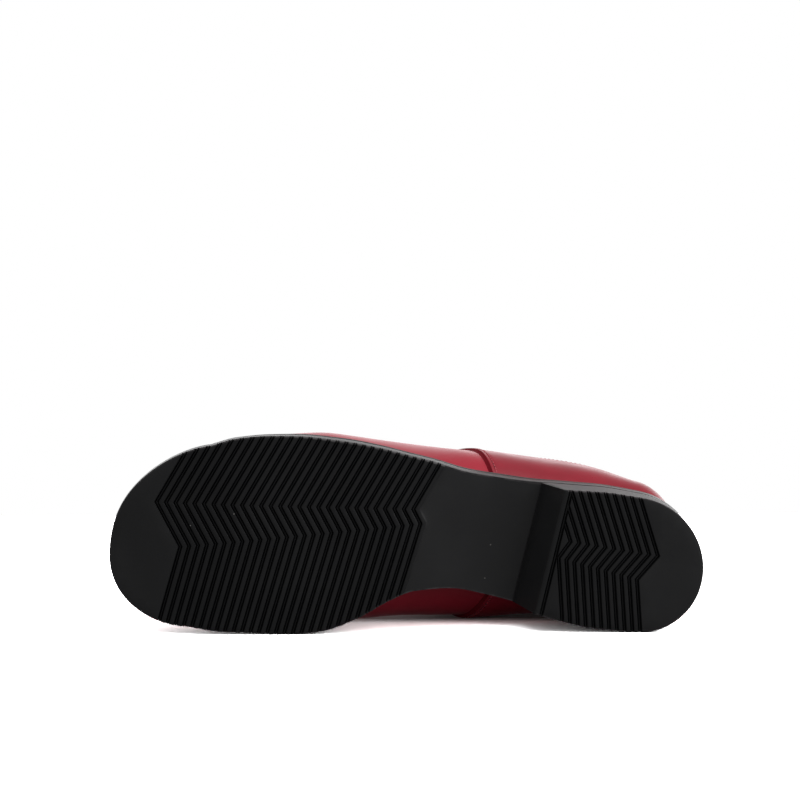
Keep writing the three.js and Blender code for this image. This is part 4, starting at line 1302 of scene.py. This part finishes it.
def tread_materials(wall_faces, triangles, depth, ribbed):
    """Rubber of each face of a slab: its tread, with grooves, ribs and plain panels, comes first."""
    numbers = wall_faces.copy()
    # Faces deep in a groove get the rubber with painted shade.
    in_groove = depth[triangles].mean(axis=1) > GROOVE_BEGIN
    on_rib = ribbed[triangles].all(axis=1)
    numbers[:len(triangles)] = np.where(on_rib, np.where(in_groove, GROOVE, RIB), PLAIN)
    return numbers


def zigzag_legs(tread, share):
    """The three straight legs of one zigzag, as x = start + slope * y: medial, middle and lateral."""
    row = {name: mix(a, b, share) for name, a, b in zip(TREAD_COLUMNS, tread["first"], tread["last"])}
    middle = (row["peak_x"] - row["valley_x"]) / (row["peak_y"] - row["valley_y"])
    return [
        (row["valley_x"] - row["medial_slope"] * row["valley_y"], row["medial_slope"]),
        (row["peak_x"] - middle * row["peak_y"], middle),
        (row["peak_x"] - tread["lateral_slope"] * row["peak_y"], tread["lateral_slope"]),
    ]


def zigzag_line(legs, offset):
    """Zigzag moved sideways by an offset, with sharp corners."""
    moved = [(start + offset * math.hypot(1, slope), slope) for start, slope in legs]
    bends = [(b[0] - a[0]) / (a[1] - b[1]) for a, b in zip(moved, moved[1:])]
    ys = [ACROSS["medial"], *bends, ACROSS["lateral"]]
    owners = [moved[0], moved[0], moved[1], moved[2]]
    return np.array([(start + slope * y, y) for (start, slope), y in zip(owners, ys)])


def tread_rows(tread):
    """Legs of all the zigzags of a tread."""
    return [zigzag_legs(tread, i / (tread["count"] - 1)) for i in range(tread["count"])]


def zigzag_offset(points, legs, tread):
    """Distance of points past one zigzag, measured square to its legs."""
    medial, middle, lateral = (
        tread["facing"] * (points[:, 0] - start - slope * points[:, 1]) / math.hypot(1, slope)
        for start, slope in legs)
    return np.maximum(np.minimum(medial, middle), lateral)


def nearest_zigzag(points, rows, tread):
    """Distance of points from the nearest zigzag of a tread."""
    return np.minimum.reduce([np.abs(zigzag_offset(points, legs, tread)) for legs in rows])


def groove_depth(distance):
    """Depth of the tread at a distance from the nearest groove."""
    widths, depths = np.array(GROOVE_PROFILE[::-1]).T
    return np.interp(distance, widths, depths)


def dense(line, step):
    """Line with extra points, so that no step is longer than the given one."""
    parts = [np.linspace(a, b, max(2, math.ceil(np.linalg.norm(b - a) / step) + 1))[:-1]
             for a, b in zip(line, line[1:])]
    return np.vstack([*parts, line[-1:]])


def groove_lines(legs):
    """Lines along one zigzag groove at every step of its profile."""
    offsets = [sign * half for half, _ in GROOVE_PROFILE for sign in (1, -1)]
    return [dense(zigzag_line(legs, offset), GROOVE_STEP) for offset in offsets]


def trace(points, loop):
    """Place of each point along a closed loop, as a point number with a share of the next step."""
    step = np.roll(loop, -1, axis=0) - loop
    offset = points[:, None] - loop[None]
    share = np.clip((offset * step).sum(axis=2) / (step ** 2).sum(axis=1), 0, 1)
    gap = np.linalg.norm(offset - share[..., None] * step, axis=2)
    nearest = np.argmin(gap, axis=1)
    return nearest + share[np.arange(len(points)), nearest]


def at_place(values, place):
    """Values along a closed loop at traced places."""
    i = np.floor(place).astype(int)
    share = (place - i)[:, None]
    return mix(values[i % len(values)], values[(i + 1) % len(values)], share)


outline = sole_outline(OUTSOLE_STEP["edge"])
normals = outward(outline)
tread_edge = outline - normals * TREAD_INSET
forefoot_rows = tread_rows(FOREFOOT_TREAD)
tread_lines = [line for legs in forefoot_rows for line in groove_lines(legs)]
tread_lines += [
    dense(zigzag_line(forefoot_rows[0], -offset), GROOVE_STEP) for offset in WAIST_STEP["offsets"]]
plain = grid_inside(tread_edge, OUTSOLE_STEP["plain"])
plain = plain[nearest_zigzag(plain, forefoot_rows, FOREFOOT_TREAD) > OUTSOLE_STEP["clear"]]
tread_flat, tread_triangles = triangulate(tread_edge, lines=tread_lines, inner=plain)
tread_depth = groove_depth(nearest_zigzag(tread_flat, forefoot_rows, FOREFOOT_TREAD))
waist_offset = -zigzag_offset(tread_flat, forefoot_rows[0], FOREFOOT_TREAD)
tread_depth += WAIST_STEP["depth"] * ease(waist_offset, WAIST_STEP["offsets"][0], WAIST_STEP["offsets"][-1])
tread_points = np.column_stack([tread_flat, bottom_height(tread_flat[:, 0]) + tread_depth])
tread_ring = edge_rings(tread_triangles)[0]
ring_place = trace(tread_flat[tread_ring], tread_edge)
ring_edge = at_place(outline, ring_place)
ring_normals = at_place(normals, ring_place)


def sole_wall(edge, edge_normals, side_inset, height, depth):
    """Ring of the sole's side at one height, or at the depth of the grooves where they run deeper."""
    lean = side_lean(edge[:, 0], height / SOLE_EDGE, edge_normals[:, 1])
    wall = edge + edge_normals * (lean - side_inset)[:, None]
    return np.column_stack([wall, bottom_height(edge[:, 0]) + np.maximum(height, depth)])


foot_walls = [
    sole_wall(ring_edge, ring_normals, *step, tread_depth[tread_ring])
    for step in SIDE_STEPS if step[1] <= GROOVE_TOP]
upper_walls = [sole_wall(outline, normals, *step, 0) for step in SIDE_STEPS if step[1] >= GROOVE_TOP]
sole_points, sole_faces, sole_sides = closed_slab(
    tread_points, tread_triangles, tread_ring, foot_walls, upper_walls,
    outline - normals * SEAT_INSET, lambda x: bottom_height(x) + SOLE_EDGE, OUTSOLE_STEP["top"])
ribbed = waist_offset < WAIST_STEP["offsets"][1]
ribbed &= zigzag_offset(tread_flat, forefoot_rows[-1], FOREFOOT_TREAD) < TREAD_END
outsole = shoe_piece("outsole_unit", sole_points, sole_faces, SOLE_RUBBERS, SOLE_CREASE,
                     tread_materials(sole_sides, tread_triangles, tread_depth, ribbed))
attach(outsole, "root")
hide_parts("outsole")


# Heel
# A block of the same rubber moulded under the heel seat. Its breast slants forward to the waist, a straight
# rib runs along the foot of the breast, and zigzag grooves fill the tread behind it.

BREAST_FOOT = {"lateral": 66.8, "medial": 72.4}
BREAST_TOP = {"lateral": 76.3, "medial": 82.0}
BREAST_RIB = 2.7
BREAST_RIM = 0.9
HEEL_SEAM = 0.3
HEEL_TOP = HEEL_HEIGHT - SOLE_EDGE - HEEL_SEAM
HEEL_TOP_INSET = 1.2
HEEL_STEP = {"plain": 4.0, "clear": 3.0, "top": 5.0}
# Zigzags run on into the groove behind the rib by this much
INTO_RIB = 0.4
buffed_heel = rubber("buffed heel edge", (0.030, 0.027, 0.029), (0.100, 0.090, 0.095), 0.42, streaks=1.0)
HEEL_RUBBERS = [sole_rubber, buffed_heel, groove_shade_rubber, rib_rubber]
HEEL_TREAD = {
    "count": 11, "lateral_slope": 0.465, "facing": -1,
    "first": (21.6, 5.0, 29.4, -6.8, 0.21), "last": (61.3, 6.4, 65.6, -1.5, 0.2),
}
# Rings of the side, as inset and height
HEEL_RINGS = [
    (0.25, 0.10), (0.06, 0.35), (0.0, 0.7), (0.0, 1.2), (0.0, 1.7), (0.0, 6.0), (0.0, 10.0), (0.05, 14.2),
    (0.25, 14.6),
]


def heel_outline(z):
    """Outline of the heel block at one height: medial side from the back, breast, lateral side, and back."""
    share = z / HEEL_TOP
    medial_x = mix(BREAST_FOOT["medial"], BREAST_TOP["medial"], share)
    lateral_x = mix(BREAST_FOOT["lateral"], BREAST_TOP["lateral"], share)
    medial = np.linspace(HEEL_CENTRE, medial_x, 30)
    lateral = np.linspace(lateral_x, HEEL_CENTRE, 30)
    turn = np.linspace(QUARTER_TURN, -QUARTER_TURN, 80)
    medial_side = edge_foot(medial, np.full_like(medial, -QUARTER_TURN))
    lateral_side = edge_foot(lateral, np.full_like(lateral, QUARTER_TURN))
    breast = mix(medial_side[-1], lateral_side[0], np.linspace(0, 1, 40)[1:-1, None])
    back = edge_foot(np.full_like(turn, HEEL_CENTRE), turn)
    return np.vstack([medial_side, breast, lateral_side, back[1:-1]])


FOOT_ENDS = {"lateral": sole_lateral(BREAST_FOOT["lateral"]), "medial": sole_medial(BREAST_FOOT["medial"])}
rib_slope = (BREAST_FOOT["lateral"] - BREAST_FOOT["medial"]) / (FOOT_ENDS["lateral"] - FOOT_ENDS["medial"])


def rib_x(y):
    """Line of the groove behind the breast rib."""
    return BREAST_FOOT["medial"] - BREAST_RIB + (y - FOOT_ENDS["medial"]) * rib_slope


heel_foot = heel_outline(0)
heel_edge = heel_foot - outward(heel_foot) * TREAD_INSET
heel_rows = tread_rows(HEEL_TREAD)


def heel_distance(points):
    """Distance to the nearest heel groove: the zigzags end at the one behind the rib."""
    ahead = points[:, 0] - rib_x(points[:, 1])
    rib = np.abs(ahead) / math.hypot(1, rib_slope)
    rows = nearest_zigzag(points, heel_rows, HEEL_TREAD)
    return np.minimum(rib, np.where(ahead < 0, rows, np.inf))


rib_ends = np.array([-0.5 * BALL_WIDTH, 0.5 * BALL_WIDTH])
heel_lines = []
for half, _ in GROOVE_PROFILE:
    for sign in (1, -1):
        across = rib_x(rib_ends) + sign * half * math.hypot(1, rib_slope)
        heel_lines.append(dense(np.stack([across, rib_ends], axis=-1), GROOVE_STEP))
for legs in heel_rows:
    for line in groove_lines(legs):
        behind = line[:, 0] < rib_x(line[:, 1]) + INTO_RIB
        for part in np.split(np.arange(len(line)), np.flatnonzero(np.diff(behind)) + 1):
            if behind[part[0]] and len(part) > 1:
                heel_lines.append(line[part])
plain = grid_inside(heel_edge, HEEL_STEP["plain"])
plain = plain[heel_distance(plain) > HEEL_STEP["clear"]]
heel_flat, heel_triangles = triangulate(heel_edge, lines=heel_lines, inner=plain)
heel_depth = groove_depth(heel_distance(heel_flat))
heel_ring = edge_rings(heel_triangles)[0]
ring_place = trace(heel_flat[heel_ring], heel_edge)


def heel_wall(side_inset, height):
    """Ring of the heel's side at one height, in the plane of the tread."""
    edge = heel_outline(height)
    out = outward(edge)
    lean = SIDE_LEAN["heel_foot"] * height / HEEL_TOP * np.clip(out[:, 1], 0, 1) * lean_fade(edge[:, 0])
    return edge + out * (lean - side_inset)[:, None]


def on_breast(points, faces):
    """Whether each face lies in the plane of the heel's breast."""
    middle = np.array([points[list(face)].mean(axis=0) for face in faces])
    lean_ahead = BREAST_TOP["medial"] - BREAST_FOOT["medial"]
    breast_x = rib_x(middle[:, 1]) + BREAST_RIB + lean_ahead * middle[:, 2] / HEEL_TOP
    return np.abs(middle[:, 0] - breast_x) < BREAST_RIM


foot_walls = [
    np.column_stack([at_place(heel_wall(inset, z), ring_place), np.maximum(z, heel_depth[heel_ring])])
    for inset, z in HEEL_RINGS if z <= GROOVE_TOP]
upper_walls = [
    np.column_stack([heel_wall(inset, z), np.full(len(heel_foot), z)])
    for inset, z in HEEL_RINGS if z >= GROOVE_TOP]
heel_points, heel_faces, heel_sides = closed_slab(
    np.column_stack([heel_flat, heel_depth]), heel_triangles, heel_ring, foot_walls, upper_walls,
    heel_wall(HEEL_TOP_INSET, HEEL_TOP), lambda x: np.full(len(x), HEEL_TOP), HEEL_STEP["top"])
heel_sides[on_breast(heel_points, heel_faces) & (heel_sides == SIDE)] = RIB
ribbed = zigzag_offset(heel_flat, heel_rows[0], HEEL_TREAD) < TREAD_END
heel = shoe_piece("heel_block", heel_points, heel_faces, HEEL_RUBBERS, SOLE_CREASE,
                  tread_materials(heel_sides, heel_triangles, heel_depth, ribbed))
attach(heel, "root")
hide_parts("heel")


# Floor, light and camera
# A white studio floor, overexposed so that only the shadow close to the shoe shows, with a painted shadow
# under the arch. One wide soft light stands to the right and one hangs above. The white room and a lit
# sweep behind the shoe fill in the rest.

CAMERA_PLACE = Vector((-40.2, -1228.6, 235.9)) * MILLIMETRE
CAMERA_YAW = math.radians(1.8)
CAMERA_PITCH = math.radians(6.32)
FOCAL_PIXELS = 2679
FRAME_PIXELS = 800
SENSOR = 36
FLOOR_REACH = {"side": 20, "front": -20, "back": 0.3}
FLOOR_GREY = (0.22, 0.22, 0.22, 1)
FLOOR_EXPOSED = (6.5, 6.5, 6.5, 1)
# A painted shadow darkens the floor in the hollow under the arch up to a soft line, given as where the shade
# begins and where it is full
FLOOR_PAINTED_SHADOW = (0.6, 0.55, 0.55, 1)
SHADE_EDGES = [("X", -0.070, -0.030), ("X", 0.095, 0.065), ("Y", -0.027, -0.013), ("Y", 0.012, -0.004)]
DIM_SKY = {"left": 0.25, "right": 0.41, "across": (-0.5, 0.5)}
SWEEP = {"light": 1.5, "behind": (0.1, 0.8), "height": (0.0, 0.7)}
LIGHT_AIM = Vector((0, 0, 0.05))
# Place, size and power of each soft light
SOFTBOXES = {
    "key softbox": ((1.5, -0.6, 1.2), (1.8, 1.8), 21),
    "top softbox": ((0.1, -0.4, 1.6), (2.0, 1.2), 8),
}

floor_mesh = bpy.data.meshes.new("floor")
reach, front, back = FLOOR_REACH.values()
floor_corners = [(-reach, front, 0), (reach, front, 0), (reach, back, 0), (-reach, back, 0)]
floor_mesh.from_pydata(floor_corners, [], [(0, 1, 2, 3)])
floor = bpy.data.objects.new("floor", floor_mesh)
bpy.context.scene.collection.objects.link(floor)
floor_paint = bpy.data.materials.new("white floor")
floor_paint.use_nodes = True
floor_tree = floor_paint.node_tree
floor_shader = floor_tree.nodes["Principled BSDF"]
floor_shader.inputs["Roughness"].default_value = 1.0
floor_shader.inputs["Specular IOR Level"].default_value = 0.0
seen = add_node(floor_tree, "ShaderNodeLightPath").outputs["Is Camera Ray"]
floor_place = add_node(floor_tree, "ShaderNodeSeparateXYZ", {
    "Vector": add_node(floor_tree, "ShaderNodeTexCoord").outputs["Object"]})
# Painted shadow: a mask by place darkens the floor's colour in the hollow under the arch.
shade = 1.0
for axis, begins, full in SHADE_EDGES:
    edge = ranged(floor_tree, floor_place.outputs[axis], begins, full, curve="SMOOTHSTEP")
    shade = worked_out(floor_tree, "MULTIPLY", edge, shade)
exposed = mixed_colour(floor_tree, shade, FLOOR_EXPOSED, FLOOR_PAINTED_SHADOW)
floor_white = mixed_colour(floor_tree, seen, FLOOR_GREY, exposed)
floor_tree.links.new(floor_white, floor_shader.inputs["Base Color"])
floor_mesh.materials.append(floor_paint)

world = bpy.data.worlds.new("studio")
bpy.context.scene.world = world
world.use_nodes = True
sky_tree = world.node_tree
sky = sky_tree.nodes["Background"]
toward = add_node(sky_tree, "ShaderNodeSeparateXYZ", {
    "Vector": add_node(sky_tree, "ShaderNodeTexCoord").outputs["Generated"]})
behind = ranged(sky_tree, toward.outputs["Y"], *SWEEP["behind"], curve="SMOOTHSTEP")
height = worked_out(sky_tree, "ABSOLUTE", toward.outputs["Z"])
low = ranged(sky_tree, height, *SWEEP["height"], SWEEP["light"], 0.0, "SMOOTHSTEP")
dim = ranged(
    sky_tree, toward.outputs["X"], *DIM_SKY["across"], DIM_SKY["left"], DIM_SKY["right"], "SMOOTHSTEP")
glow = worked_out(sky_tree, "MULTIPLY_ADD", behind, low, dim)
in_view = add_node(sky_tree, "ShaderNodeLightPath").outputs["Is Camera Ray"]
brightness = add_node(sky_tree, "ShaderNodeMix", {0: in_view, 2: glow, 3: 1.0}, data_type="FLOAT")
sky_tree.links.new(brightness.outputs[0], sky.inputs["Strength"])
sky.inputs["Color"].default_value = (1, 1, 1, 1)

for name, (place, size, power) in SOFTBOXES.items():
    light = bpy.data.lights.new(name, "AREA")
    light.shape = "RECTANGLE"
    light.size, light.size_y = size
    light.energy = power
    lamp = bpy.data.objects.new(name, light)
    lamp.location = place
    lamp.rotation_euler = (LIGHT_AIM - Vector(place)).to_track_quat("-Z", "Y").to_euler()
    bpy.context.scene.collection.objects.link(lamp)

camera = bpy.data.cameras.new("camera")
camera.sensor_width = SENSOR
camera.lens = SENSOR * FOCAL_PIXELS / FRAME_PIXELS
camera_stand = bpy.data.objects.new("camera", camera)
camera_stand.location = CAMERA_PLACE
camera_stand.rotation_euler = (QUARTER_TURN - CAMERA_PITCH, 0, -CAMERA_YAW)
bpy.context.scene.collection.objects.link(camera_stand)
bpy.context.scene.camera = camera_stand
bpy.context.scene.view_settings.view_transform = "Standard"
